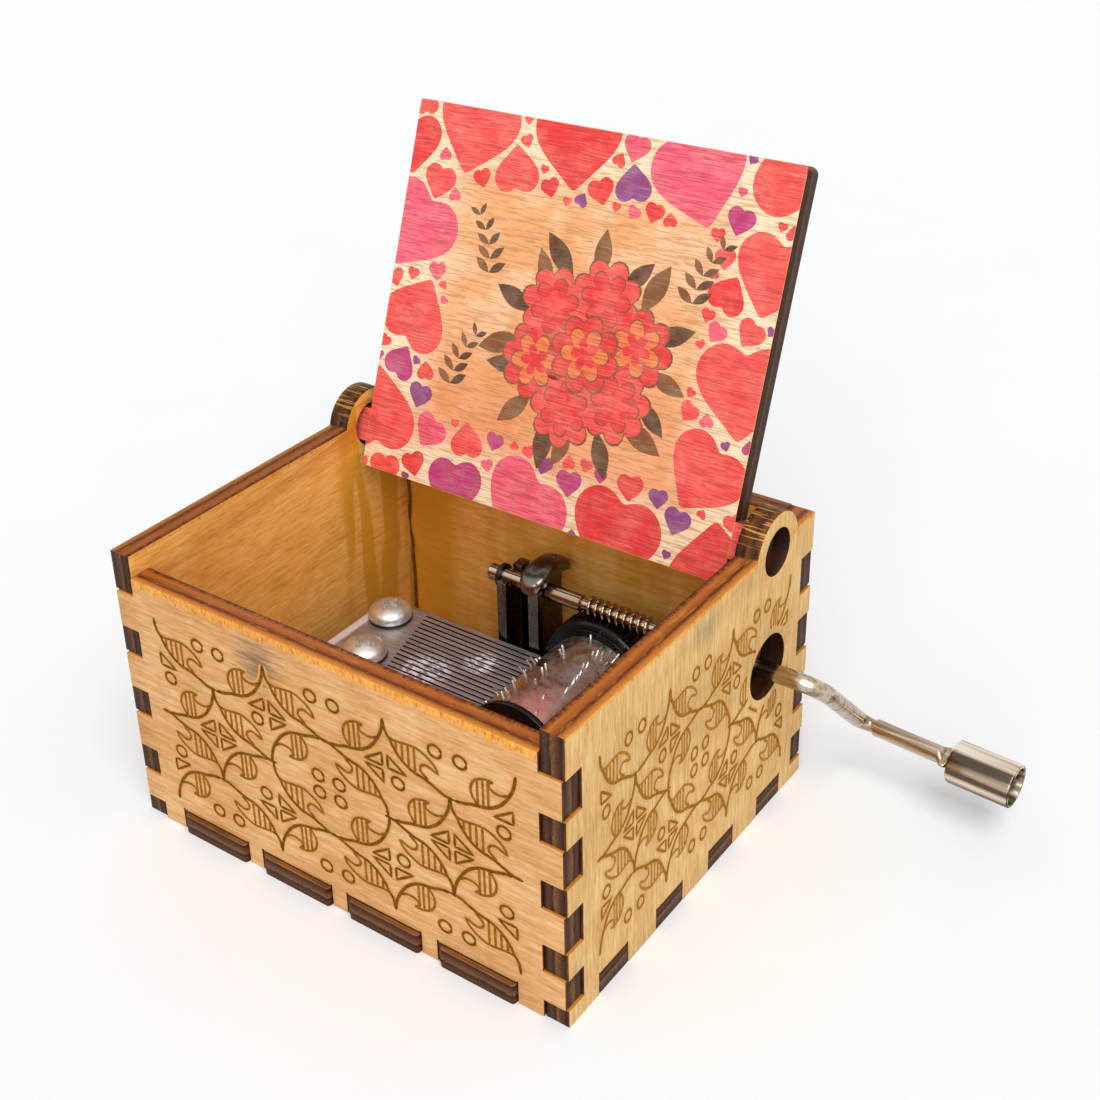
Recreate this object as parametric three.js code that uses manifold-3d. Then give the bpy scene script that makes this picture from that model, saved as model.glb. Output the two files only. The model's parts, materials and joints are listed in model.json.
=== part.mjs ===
import * as THREE from "three";
import { mergeVertices } from "three/addons/utils/BufferGeometryUtils.js";
import Module from "manifold-3d";

const wasm = await Module();
wasm.setup();

// A hand-cranked music box: a finger-jointed plywood box with a hinged lid, and inside it a comb,
// a pinned cylinder and a worm drive that is turned by a bent crank through the right wall.
// Lengths are millimetres. The origin is the centre of the underside, +X points to the crank,
// -Y to the front and +Z up.

// Box panels
const boxWidth = 64;
const boxDepth = 53;
const sideHeight = 38;
const ply = 3;
const jointGap = 0.12;
const cutOverrun = 1;

// Finger joints at the four upright corners
const fingerCount = 4;
const fingerHeight = 4.95;
const topFingerHeight = 5.25;
const lowestFingerTop = 6.5;
const cornerFootHeight = 2.4;

// Tabs of the bottom panel
const frontTabCount = 4;
const frontTabMargin = 6.65;
const frontTabGap = 2.5;
const sideTabCount = 4;
const sideTabMargin = 6.1;
const sideTabWidth = 5.6;

// Lid and its pivot ears
const pivotSetback = 9.5;
const pivotDrop = 0.9;
const earRadius = 4.9;
const pivotHoleRadius = 3;
const pegWidth = 4.4;
const lidSideGap = 1.55;
const lidSideShift = -0.75;
const lidFrontInset = 0.2;
const lidTailGap = 1.1;
const pegEndGap = 0.75;
const lidRestGap = 0.3;
const lidCornerRadius = 1;
const lidOpenAngle = THREE.MathUtils.degToRad(110);

// Movement: heights are taken from the box floor, and places from its bed plate, which stands
// at set distances from the left, right and back walls
const fitGap = 0.06;
const plateLeftGap = 3;
const plateRightGap = 5;
const plateRearGap = 1.3;
const plateFrontMargin = 5;
const plateThickness = 1.3;
const plateCornerRadius = 2.5;
const cylinderInset = 15;
const cylinderHeight = 9;
const drumRadius = 6.6;
const drumLength = 16.5;
const drumWheelGap = 0.25;
const arborRadius = 0.8;
const arborOverhang = 0.5;

// Pins of the cylinder
const pinRadius = 0.17;
const pinLength = 1;
const pinRoot = 0.4;
const pinsPerTrack = 4;
const pinPatternTracks = 3;
const pinSpreadShare = 0.38;
const melodyShare = 0.39;

// Worm and wheel
const wheelTeeth = 48;
const wormPitch = 1.05;
const wormPitchRadius = 1.08;
const threadRise = 0.34;
const threadDrop = 0.36;
const threadCrestWidth = 0.2;
const threadRootWidth = 0.46;
const joinOverlap = 0.2;
const toothRise = 0.23;
const toothDrop = 0.47;
const toothTipWidth = 0.25;
const toothRootWidth = 0.55;
const wheelWidth = 3.2;
const wheelFlangeRadius = 7.3;
const wheelFlangeWidth = 1.05;
const wheelRecessRadius = 5.4;
const wheelRecessDepth = 0.8;
const wheelHubRadius = 2;
const wormReach = 3.3;
const wormLength = 10.8;
const threadStepsPerTurn = 12;

// Crank shaft, arm and handle
const shaftInset = 6;
const rodRadius = 1.1;
const shaftEndReach = 18;
const armStandoff = 6.8;
const crankThrow = 17.7;
const crankAngle = THREE.MathUtils.degToRad(-44.5);
const handleLean = THREE.MathUtils.degToRad(-2.8);
const armBendRadius = 3.2;
const handleBendRadius = 1.9;
const bendSteps = 7;
const rodSides = 14;
const handleLength = 12.35;
const crimpLength = 1;
const crimpSpan = 3.5;
const crimpThickness = 0.7;
const crimpAngle = THREE.MathUtils.degToRad(105);
const endHeadRadius = 1.75;
const endHeadLength = 0.6;

// Knob: a thin nickel cup that turns on the handle end
const knobRadius = 2.75;
const knobLength = 8.1;
const knobWall = 0.45;
const knobFloor = 1;
const knobEdgeRound = 0.3;
const knobPlay = 0.3;
const runningGap = 0.08;

// Hole for the crank in the right panel
const crankHoleRadius = 4.2;
const crankHoleShiftY = -0.4;
const crankHoleShiftZ = 0.8;

// Retaining clip on the shaft end
const clipThickness = 0.5;
const clipRadius = 2.3;
const clipMouth = 1.3;
const clipInset = 1.7;
const grooveDepth = 0.25;

// Comb
const combTeeth = 18;
const toothPitch = 0.9;
const slotWidth = 0.27;
const combThickness = 1;
const toothRelief = 0.3;
const combRearInset = 0.1;
const combLeftInset = 1.5;
const combTipGap = 0.3;
const combBodyWidth = 6.9;
const rootSlant = 0.225;
const combCornerBevel = 1.2;
const weightedTeeth = 6;
const weightHeight = 1.1;
const weightLongest = 3.4;
const weightStep = 0.4;
const weightTipGap = 0.7;

// Comb screws and washers
const screwHeadRadius = 2.95;
const screwHeadHeight = 1.9;
const screwShankRadius = 1.4;
const screwShankLength = 5.5;
const screwRimHeight = 0.5;
const recessLength = 2.9;
const recessWidth = 0.6;
const recessDepth = 0.8;
const washerRadius = 3;
const washerThickness = 0.4;
const rearScrewSideInset = 3.3;
const rearScrewInset = 3.8;
const frontScrewSideInset = 6.2;
const frontScrewInset = 3.6;

// Bed plate: its window, ledge and bosses
const windowMargin = 0.8;
const ledgeOverlap = 0.8;
const bossRadius = 2.3;
const bossHeight = 3;

// Hooded bracket of the crank shaft, and the thin stay beside it
const bracketReach = 11.4;
const bracketWidth = 2.6;
const bracketWeb = 1.2;
const bracketFrontReach = 2.5;
const bracketDepth = 7.6;
const bracketTopGap = 0.9;
const hoodDrop = 2.4;
const bracketLeg = 1.2;
const rightBracketInset = 4.4;
const rightBracketDrop = 1;
const stayReach = 15.3;
const stayThickness = 1.4;
const stayDepth = 5.6;
const stayFrontDrop = 0.5;
const stayRearRise = 1.4;
const tenonShare = 0.5;

// Bearing plates of the cylinder arbor
const bearingThickness = 1.2;
const bearingWidth = 6;
const bearingGap = 0.7;

// Front cap of the cylinder
const capRadius = 6.85;
const capThickness = 0.8;
const capBossRadius = 1.9;
const capBossLength = 0.6;

// Countersunk screws from below
const baseScrewHeadRadius = 2.1;
const baseScrewRadius = 1.1;
const baseScrewConeHeight = 1.1;
const baseScrewRecess = 0.3;
const baseScrewReach = 3.4;
const baseScrewLeftInset = 6;
const baseScrewReachX = 15;
const baseScrewRightInset = 4;
const baseScrewDepthShares = [0.45, 0.14, 0.3];

// Facets of round pieces
const roundSides = 36;
const screwSides = 24;
const smallSides = 16;
const pinSides = 5;
const facetAngle = THREE.MathUtils.degToRad(12);
const cornerFacetAngle = THREE.MathUtils.degToRad(30);
const domeSteps = 6;

// Values worked out from the sizes above
const halfWidth = boxWidth / 2;
const halfDepth = boxDepth / 2;
const innerHalfWidth = halfWidth - ply;
const innerHalfDepth = halfDepth - ply;
const pivotY = halfDepth - pivotSetback;
const pivotZ = sideHeight - pivotDrop;
const frontHeight = pivotZ - ply / 2 - lidRestGap;
const plateLeftX = plateLeftGap - innerHalfWidth;
const plateRightX = innerHalfWidth - plateRightGap;
const plateRearY = innerHalfDepth - plateRearGap;
const cylinderX = plateRightX - cylinderInset;
const shaftY = plateRearY - shaftInset;
const pinTipRadius = drumRadius + pinLength;
const wheelPitchRadius = wheelTeeth * wormPitch / (2 * Math.PI);
const wheelTipRadius = wheelPitchRadius + toothRise;
const shaftHeight = cylinderHeight + wheelPitchRadius + wormPitchRadius;
const wormCoreRadius = wormPitchRadius - threadDrop;
const wormCrestRadius = wormPitchRadius + threadRise;
const wheelFrontY = shaftY - wheelWidth / 2;
const wheelRearY = shaftY + wheelWidth / 2;
const drumRearY = wheelFrontY - wheelFlangeWidth - drumWheelGap;
const drumFrontY = drumRearY - drumLength;
const wormStartX = cylinderX - wormReach;
const shaftEndX = cylinderX - shaftEndReach;
const armX = halfWidth + armStandoff;
const combTop = cylinderHeight + combThickness;
const combTipX = cylinderX - pinTipRadius - combTipGap;
const combLeftX = plateLeftX + combLeftInset;
const longestToothRootX = combLeftX + combBodyWidth;
const combRearY = drumRearY - combRearInset;
const combFrontY = combRearY - combTeeth * toothPitch;
const toothUnderside = combTop - combThickness + toothRelief;
const plateFrontY = combFrontY - plateFrontMargin;
const plateDepth = plateRearY - plateFrontY;
const capFrontY = drumFrontY - fitGap - capThickness - capBossLength;
const frontBearingY = capFrontY - bearingGap - bearingThickness;
const rearBearingY = wheelRearY + bearingGap;
const bracketX = cylinderX - bracketReach;
const rightBracketX = plateRightX - rightBracketInset;
const bracketFrontY = shaftY - bracketFrontReach;
const bracketTop = shaftHeight + wormCrestRadius + bracketTopGap + rodRadius;
const stayX = cylinderX - stayReach;

// Materials
function material(color, roughness, metalness) {
  return new THREE.MeshStandardMaterial({ color, roughness, metalness });
}
const plywood = () => material(0xd9b37c, 0.75, 0);
const printedPly = () => material(0xe8617a, 0.7, 0);
const castZinc = () => material(0x8a8580, 0.45, 0.9);
const combSteel = () => material(0x6f6a68, 0.35, 1);
const nickel = () => material(0xc9bba0, 0.22, 1);
const drumNickel = () => material(0xb5a68f, 0.3, 1);
const gunmetal = () => material(0x4c453f, 0.35, 0.9);
const blackPlastic = () => material(0x121212, 0.3, 0);
const darkSteel = () => material(0x2c2a28, 0.4, 0.9);

// Solids for joining and cutting
function toSolid(geometry) {
  const bare = geometry.clone();
  bare.deleteAttribute("normal");
  bare.deleteAttribute("uv");
  const merged = mergeVertices(bare);
  const index = merged.index.array;
  const triangles = [];
  for (let i = 0; i < index.length; i += 3) {
    const [a, b, c] = [index[i], index[i + 1], index[i + 2]];
    if (a !== b && b !== c && c !== a) triangles.push(a, b, c);
  }
  const mesh = new wasm.Mesh({
    numProp: 3,
    vertProperties: new Float32Array(merged.attributes.position.array),
    triVerts: new Uint32Array(triangles),
  });
  return new wasm.Manifold(mesh);
}

function toGeometry(solid) {
  const mesh = solid.getMesh();
  const geometry = new THREE.BufferGeometry();
  geometry.setAttribute("position", new THREE.BufferAttribute(mesh.vertProperties, 3));
  geometry.setIndex(new THREE.BufferAttribute(mesh.triVerts, 1));
  geometry.computeVertexNormals();
  return geometry;
}

function joined(...geometries) {
  return toGeometry(geometries.map(toSolid).reduce((whole, piece) => whole.add(piece)));
}

function cutFrom(geometry, ...tools) {
  return toGeometry(tools.map(toSolid).reduce((whole, tool) => whole.subtract(tool), toSolid(geometry)));
}

// Basic forms
function slab(shape, thickness) {
  return new THREE.ExtrudeGeometry(shape, { depth: thickness, bevelEnabled: false });
}

// An outline drawn in (y, z) becomes a slab that is thick along +X.
function acrossX(shape, thickness) {
  const basis = new THREE.Matrix4().makeBasis(
    new THREE.Vector3(0, 1, 0), new THREE.Vector3(0, 0, 1), new THREE.Vector3(1, 0, 0));
  return slab(shape, thickness).applyMatrix4(basis);
}

// An outline drawn in (x, z) becomes a slab that is thick along +Y.
function acrossY(shape, thickness) {
  const basis = new THREE.Matrix4().makeBasis(
    new THREE.Vector3(1, 0, 0), new THREE.Vector3(0, 0, 1), new THREE.Vector3(0, -1, 0));
  return slab(shape, thickness).applyMatrix4(basis).translate(0, thickness, 0);
}

function block(low, high) {
  const [width, depth, height] = high.map((value, axis) => value - low[axis]);
  const centre = high.map((value, axis) => (value + low[axis]) / 2);
  return new THREE.BoxGeometry(width, depth, height).translate(...centre);
}

function turnedOnX(profile, sides) {
  return turnedOnY(profile, sides).rotateZ(-Math.PI / 2);
}

function turnedOnY(profile, sides) {
  return new THREE.LatheGeometry(profile.map(([radius, along]) => new THREE.Vector2(radius, along)), sides);
}

function turnedOnZ(profile, sides) {
  return turnedOnY(profile, sides).rotateX(Math.PI / 2);
}

// A bar from one place along its axis to another, and a ring with a bore.
function bar(radius, start, end) {
  return [[0, start], [radius, start], [radius, end], [0, end]];
}

function ring(bore, radius, start, end) {
  return [[bore, start], [radius, start], [radius, end], [bore, end], [bore, start]];
}

function outline(points, ...holes) {
  const shape = new THREE.Shape(points.map(([u, v]) => new THREE.Vector2(u, v)));
  shape.holes = holes.map((hole) => new THREE.Path(hole.map(([u, v]) => new THREE.Vector2(u, v))));
  return shape;
}

// Points of an arc about (u, v), both ends included
function arc(u, v, radius, from, to, step = facetAngle) {
  const count = Math.ceil(Math.abs(to - from) / step);
  return Array.from({ length: count + 1 }, (_, i) => {
    const angle = from + (to - from) * i / count;
    return [u + radius * Math.cos(angle), v + radius * Math.sin(angle)];
  });
}

function circle(u, v, radius) {
  return arc(u, v, radius, 0, -2 * Math.PI).slice(1);
}

function roundedRectangle(left, right, bottom, top, radius) {
  const step = cornerFacetAngle;
  return outline([
    ...arc(right - radius, bottom + radius, radius, -Math.PI / 2, 0, step),
    ...arc(right - radius, top - radius, radius, 0, Math.PI / 2, step),
    ...arc(left + radius, top - radius, radius, Math.PI / 2, Math.PI, step),
    ...arc(left + radius, bottom + radius, radius, Math.PI, Math.PI * 1.5, step),
  ]);
}

// Finger and tab joints: places along an edge, as [start, end] pairs
function fingerRows(allowance) {
  const highest = sideHeight - topFingerHeight;
  const pitch = (highest - lowestFingerTop) / (fingerCount - 1);
  return Array.from({ length: fingerCount }, (_, i) => {
    const top = lowestFingerTop + i * pitch;
    const bottom = Math.max(top - fingerHeight, cornerFootHeight);
    return [bottom - allowance, top + allowance];
  });
}

function frontTabs(allowance) {
  const span = boxWidth - 2 * frontTabMargin;
  const width = (span - (frontTabCount - 1) * frontTabGap) / frontTabCount;
  return Array.from({ length: frontTabCount }, (_, i) => {
    const start = -span / 2 + i * (width + frontTabGap);
    return [start - allowance, start + width + allowance];
  });
}

function sideTabs(allowance) {
  const span = boxDepth - 2 * sideTabMargin;
  const pitch = (span - sideTabWidth) / (sideTabCount - 1);
  return Array.from({ length: sideTabCount }, (_, i) => {
    const start = -span / 2 + i * pitch;
    return [start - allowance, start + sideTabWidth + allowance];
  });
}

// A straight edge of an outline that steps sideways to `side` over each [start, end] pair.
// It is listed in rising order.
function steppedEdgeAlongU(v, side, pairs) {
  return pairs.flatMap(([from, to]) => [[from, v], [from, side], [to, side], [to, v]]);
}

function steppedEdgeAlongV(u, side, pairs) {
  return pairs.flatMap(([from, to]) => [[u, from], [side, from], [side, to], [u, to]]);
}

// Side panel: drawn in (y, z), with an ear that carries the lid
function sidePanel(...holes) {
  const rows = fingerRows(jointGap);
  const notch = innerHalfDepth - jointGap;
  const earStart = Math.asin(pivotDrop / earRadius);
  const points = [
    [-halfDepth, 0],
    ...steppedEdgeAlongU(0, ply + jointGap, sideTabs(jointGap)),
    [halfDepth, 0],
    ...steppedEdgeAlongV(halfDepth, notch, rows),
    [halfDepth, sideHeight],
    ...arc(pivotY, pivotZ, earRadius, earStart, Math.PI - earStart, facetAngle / 2),
    [-halfDepth, sideHeight],
    ...steppedEdgeAlongV(-halfDepth, -notch, rows).reverse(),
  ];
  return acrossX(outline(points, circle(pivotY, pivotZ, pivotHoleRadius), ...holes), ply);
}

function crankHole() {
  return circle(shaftY + crankHoleShiftY, ply + shaftHeight + crankHoleShiftZ, crankHoleRadius);
}

// Front and back panels: drawn in (x, z), with fingers that reach the outer faces
function endPanel(height) {
  const edge = innerHalfWidth - jointGap;
  const rows = fingerRows(0);
  const points = [
    [-edge, 0],
    ...steppedEdgeAlongU(0, ply + jointGap, frontTabs(jointGap)),
    [edge, 0],
    ...steppedEdgeAlongV(edge, halfWidth, rows),
    [edge, height],
    [-edge, height],
    ...steppedEdgeAlongV(-edge, -halfWidth, rows).reverse(),
  ];
  return acrossY(outline(points), ply);
}

// Bottom panel: drawn in (x, y), with tabs on all four sides and three countersunk holes
function bottomPanel() {
  const edgeX = innerHalfWidth - jointGap;
  const edgeY = innerHalfDepth - jointGap;
  const points = [
    [-edgeX, -edgeY],
    ...steppedEdgeAlongU(-edgeY, -halfDepth, frontTabs(0)),
    [edgeX, -edgeY],
    ...steppedEdgeAlongV(edgeX, halfWidth, sideTabs(0)),
    [edgeX, edgeY],
    ...steppedEdgeAlongU(edgeY, halfDepth, frontTabs(0)).reverse(),
    [-edgeX, edgeY],
    ...steppedEdgeAlongV(-edgeX, -halfWidth, sideTabs(0)).reverse(),
  ];
  const holes = baseScrewPlaces().map(([x, y]) => baseScrewHole().translate(x, y, 0));
  return cutFrom(slab(outline(points), ply), ...holes);
}

// Lid: drawn in (x, y) about its pivot line, with a peg at each side
function lidPanel() {
  const edge = innerHalfWidth - lidSideGap;
  const pegEnd = halfWidth - pegEndGap;
  const reach = pivotY + halfDepth - lidFrontInset;
  const tail = pivotSetback - ply - lidTailGap;
  const peg = [[-pegWidth / 2, pegWidth / 2]];
  const corner = edge - lidCornerRadius;
  const cornerY = lidCornerRadius - reach;
  const points = [
    ...arc(-corner, cornerY, lidCornerRadius, Math.PI, 1.5 * Math.PI),
    ...arc(corner, cornerY, lidCornerRadius, -Math.PI / 2, 0),
    ...steppedEdgeAlongV(edge, pegEnd, peg),
    [edge, tail],
    [-edge, tail],
    ...steppedEdgeAlongV(-edge, -pegEnd, peg).reverse(),
  ];
  return slab(outline(points), ply).translate(0, 0, -ply / 2);
}

// Countersunk screws through the bottom
function baseScrewPlaces() {
  const places = [plateLeftX + baseScrewLeftInset, cylinderX - baseScrewReachX,
    plateRightX - baseScrewRightInset];
  return places.map((x, i) => [x, plateFrontY + baseScrewDepthShares[i] * plateDepth]);
}

function baseScrewProfile(extra, bottom, top) {
  const coneTop = bottom + baseScrewConeHeight;
  return [
    [0, bottom],
    [baseScrewHeadRadius + extra, bottom],
    [baseScrewRadius + extra, coneTop],
    [baseScrewRadius + extra, top],
    [0, top],
  ];
}

function baseScrewHole() {
  const cone = turnedOnZ(baseScrewProfile(fitGap, baseScrewRecess, ply + cutOverrun), smallSides);
  const mouth = turnedOnZ(bar(baseScrewHeadRadius + fitGap, -cutOverrun, baseScrewRecess), smallSides);
  return joined(cone, mouth);
}

function baseScrew() {
  const top = ply + baseScrewReach;
  const screw = turnedOnZ(baseScrewProfile(0, baseScrewRecess, top), smallSides);
  const low = baseScrewRecess - cutOverrun;
  const high = baseScrewRecess + recessDepth;
  return cutFrom(screw, ...crossRecess(low, high));
}

// A cross recess between two heights, for a screw that stands along Z
function crossRecess(low, high) {
  const arm = recessLength / 2;
  const half = recessWidth / 2;
  return [block([-arm, -half, low], [arm, half, high]), block([-half, -arm, low], [half, arm, high])];
}

// Bed plate: a casting with a ledge for the comb, bosses for the screws and a window
// below the cylinder and its wheel
function bedPlate() {
  const plate = slab(
    roundedRectangle(plateLeftX, plateRightX, plateFrontY, plateRearY, plateCornerRadius), plateThickness);
  const ledgeTop = combTop - combThickness;
  const ledge = slab(ledgeShape(), ledgeTop);
  const bosses = baseScrewPlaces().slice(1).map(([x, y]) =>
    turnedOnZ(bar(bossRadius, 0, plateThickness + bossHeight), smallSides).translate(x, y, 0));
  return cutFrom(joined(plate, ledge, ...bosses), ...bedPlateCuts(ledgeTop));
}

// The ledge follows the slanted roots of the teeth.
function ledgeShape() {
  const slant = rootSlant * combTeeth;
  return outline([
    [combLeftX, combFrontY],
    [longestToothRootX + slant - ledgeOverlap, combFrontY],
    [longestToothRootX - ledgeOverlap, combRearY],
    [combLeftX, combRearY],
  ]);
}

function bedPlateCuts(ledgeTop) {
  const windowHalf = wheelTipRadius + windowMargin;
  const window = block(
    [cylinderX - windowHalf, drumFrontY - windowMargin, -cutOverrun],
    [cylinderX + windowHalf, wheelRearY + windowMargin / 2, plateThickness + cutOverrun]);
  const screwHoles = combScrewPlaces().map(([x, y]) => turnedOnZ(
    bar(screwShankRadius + fitGap, ledgeTop - screwShankLength, ledgeTop + cutOverrun), smallSides)
    .translate(x, y, 0));
  const baseHoles = baseScrewPlaces().map(([x, y]) => turnedOnZ(
    bar(baseScrewRadius + fitGap, -cutOverrun, baseScrewReach + fitGap), smallSides).translate(x, y, 0));
  return [window, ...screwHoles, ...baseHoles, ...tenonSlots()];
}

// Slots in the bed plate for the tenons of the upright pieces
function tenonSlots() {
  const bearingRun = bearingWidth * tenonShare;
  const brackets = [bracketX, rightBracketX].map((x) => uprightSlot(x, bracketWeb, bracketDepth));
  const bearings = [frontBearingY, rearBearingY].map((y) => tenonSlot(
    [cylinderX - bearingRun / 2, y], [cylinderX + bearingRun / 2, y + bearingThickness]));
  return [...brackets, uprightSlot(stayX, stayThickness, stayDepth), ...bearings];
}

function uprightSlot(x, thickness, depth) {
  const middle = bracketFrontY + depth / 2;
  const run = depth * tenonShare;
  return tenonSlot([x, middle - run / 2], [x + thickness, middle + run / 2]);
}

function tenonSlot([left, front], [right, rear]) {
  return block(
    [left - fitGap, front - fitGap, -cutOverrun],
    [right + fitGap, rear + fitGap, plateThickness + cutOverrun]);
}

// Comb: a steel plate slotted into teeth that are thinned from below, with weights under the
// longest ones
function comb() {
  const bottom = combTop - combThickness;
  const blank = slab(
    roundedRectangle(combLeftX, combTipX, combFrontY, combRearY, slotWidth), combThickness)
    .translate(0, 0, bottom);
  const slots = [];
  for (let i = 1; i < combTeeth; i += 1) {
    const y = combRearY - i * toothPitch;
    const root = toothRootX(i);
    slots.push(block(
      [root, y - slotWidth / 2, bottom - cutOverrun],
      [combTipX + cutOverrun, y + slotWidth / 2, combTop + cutOverrun]));
  }
  const holes = combScrewPlaces().map(([x, y]) => turnedOnZ(
    bar(screwShankRadius + 2 * fitGap, bottom - cutOverrun, combTop + cutOverrun), smallSides)
    .translate(x, y, 0));
  const plate = cutFrom(blank, ...slots, ...holes, toothReliefCut(bottom), ...combCorners(bottom));
  return joined(plate, ...toothWeights());
}

function toothRootX(slotNumber) {
  return longestToothRootX + rootSlant * slotNumber;
}

function toothReliefCut(bottom) {
  const shape = outline([
    [toothRootX(0), combRearY + cutOverrun],
    [toothRootX(combTeeth), combFrontY - cutOverrun],
    [combTipX + cutOverrun, combFrontY - cutOverrun],
    [combTipX + cutOverrun, combRearY + cutOverrun],
  ]);
  return slab(shape, cutOverrun + toothRelief).translate(0, 0, bottom - cutOverrun);
}

// Bevels that take off the two root corners of the comb
function combCorners(bottom) {
  return [combFrontY, combRearY].map((y) => {
    const outwards = Math.sign(y - (combFrontY + combRearY) / 2);
    const side = combCornerBevel + cutOverrun;
    const far = y + outwards * cutOverrun;
    const corner = outline([
      [combLeftX - cutOverrun, far],
      [combLeftX + side, far],
      [combLeftX - cutOverrun, far - outwards * (side + cutOverrun)],
    ]);
    return slab(corner, combThickness + 2 * cutOverrun).translate(0, 0, bottom - cutOverrun);
  });
}

function toothWeights() {
  const toothWidth = toothPitch - slotWidth;
  return Array.from({ length: weightedTeeth }, (_, i) => {
    const middle = combRearY - (i + 0.5) * toothPitch;
    const end = combTipX - weightTipGap;
    const start = end - weightLongest + i * weightStep;
    return block(
      [start, middle - toothWidth / 2 + fitGap, toothUnderside - weightHeight],
      [end, middle + toothWidth / 2 - fitGap, toothUnderside + toothRelief]);
  });
}

function combScrewPlaces() {
  return [
    [combLeftX + rearScrewSideInset, combRearY - rearScrewInset],
    [combLeftX + frontScrewSideInset, combFrontY + frontScrewInset],
  ];
}

// Pan-head screw that stands on the comb's washer
function combScrew() {
  const seat = combTop + washerThickness + fitGap;
  const domeHeight = screwHeadHeight - screwRimHeight;
  const dome = Array.from({ length: domeSteps + 1 }, (_, i) => {
    const angle = i / domeSteps * Math.PI / 2;
    return [screwHeadRadius * Math.cos(angle), seat + screwRimHeight + domeHeight * Math.sin(angle)];
  });
  dome[dome.length - 1][0] = 0;
  const low = combTop - combThickness - screwShankLength + cutOverrun;
  const profile = [
    [0, low],
    [screwShankRadius, low],
    [screwShankRadius, seat],
    [screwHeadRadius, seat],
    ...dome,
  ];
  const top = seat + screwHeadHeight;
  return cutFrom(turnedOnZ(profile, screwSides), ...crossRecess(top - recessDepth, top + cutOverrun));
}

function combWasher() {
  const bottom = combTop + fitGap / 2;
  const section = ring(screwShankRadius + fitGap, washerRadius, bottom, bottom + washerThickness);
  return turnedOnZ(section, screwSides);
}

// Pinned cylinder, drawn about the arbor along Y
function pinnedDrum() {
  const drum = turnedOnY(ring(arborRadius + fitGap, drumRadius, drumFrontY, drumRearY), roundSides);
  return joined(drum, ...drumPins());
}

// Each track of pins lines up with one tooth. The turns follow a rule, not a tune.
function drumPins() {
  const pins = [];
  for (let track = 0; track < combTeeth; track += 1) {
    const y = combRearY - (track + 0.5) * toothPitch;
    for (let i = 0; i < pinsPerTrack; i += 1) {
      const spread = i * pinSpreadShare * (1 + track % pinPatternTracks);
      const angle = (track * melodyShare + spread) / pinsPerTrack * 2 * Math.PI;
      const pin = turnedOnZ(bar(pinRadius, drumRadius - pinRoot, pinTipRadius), pinSides);
      pins.push(pin.rotateY(angle).translate(0, y, 0));
    }
  }
  return pins;
}

function arbor() {
  const start = frontBearingY - arborOverhang;
  const end = rearBearingY + bearingThickness + arborOverhang;
  return turnedOnY(bar(arborRadius, start, end), smallSides);
}

function frontCap() {
  const bore = arborRadius + fitGap;
  const rear = drumFrontY - fitGap;
  const face = rear - capThickness;
  return turnedOnY([
    [bore, rear - capThickness - capBossLength],
    [capBossRadius, rear - capThickness - capBossLength],
    [capBossRadius, face],
    [capRadius, face],
    [capRadius, rear],
    [bore, rear],
    [bore, rear - capThickness - capBossLength],
  ], roundSides);
}

// Worm wheel with a stepped flange towards the drum and a dished rear face
function wormWheel() {
  const rim = acrossY(toothedOutline(), wheelWidth).translate(0, wheelFrontY, 0);
  const flangeFront = wheelFrontY - wheelFlangeWidth;
  const flange = turnedOnY(bar(wheelFlangeRadius, flangeFront, wheelFrontY + joinOverlap), roundSides);
  const bore = turnedOnY(
    bar(arborRadius + fitGap, flangeFront - cutOverrun, wheelRearY + cutOverrun), smallSides);
  const dishFloor = wheelRearY - wheelRecessDepth;
  const dish = turnedOnY(
    ring(wheelHubRadius, wheelRecessRadius, dishFloor, wheelRearY + cutOverrun), roundSides);
  return cutFrom(joined(rim, flange), bore, dish);
}

// Straight-sided teeth: one stands upright below the worm
function toothedOutline() {
  const points = [];
  const rootRadius = wheelPitchRadius - toothDrop;
  for (let i = 0; i < wheelTeeth; i += 1) {
    const middle = Math.PI / 2 + i / wheelTeeth * 2 * Math.PI;
    const corners = [[rootRadius, -toothRootWidth], [wheelTipRadius, -toothTipWidth],
      [wheelTipRadius, toothTipWidth], [rootRadius, toothRootWidth]];
    corners.forEach(([radius, width]) => {
      const angle = middle + width / 2 / radius;
      points.push([radius * Math.cos(angle), radius * Math.sin(angle)]);
    });
  }
  return outline(points);
}

// Bearing plate of the arbor: drawn in (x, z), with its foot in the bed plate
function bearingPlate() {
  const half = bearingWidth / 2;
  const foot = half * tenonShare;
  const shoulder = plateThickness + fitGap;
  const points = [
    [-foot, 0], [foot, 0], [foot, shoulder], [half, shoulder],
    ...arc(0, cylinderHeight, half, 0, Math.PI),
    [-half, shoulder], [-foot, shoulder],
  ];
  return acrossY(outline(points, circle(0, cylinderHeight, arborRadius + runningGap)), bearingThickness);
}

// Hooded bracket: a web that the shaft runs through, a front leg and a rounded hood, all as wide
// as the bracket. Drawn in (y, z) from the bracket's front.
function shaftBracket(top) {
  const web = acrossX(bracketOutline(top), bracketWeb);
  const leg = block(
    [0, 0, plateThickness + fitGap],
    [bracketWidth, bracketLeg, shaftHeight - hoodDrop / 2]);
  const hood = acrossX(hoodOutline(top), bracketWidth);
  const hole = turnedOnX(bar(rodRadius + runningGap, -cutOverrun, bracketWidth + cutOverrun), smallSides)
    .translate(0, shaftY - bracketFrontY, shaftHeight);
  return cutFrom(joined(web, leg, hood), hole);
}

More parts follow.
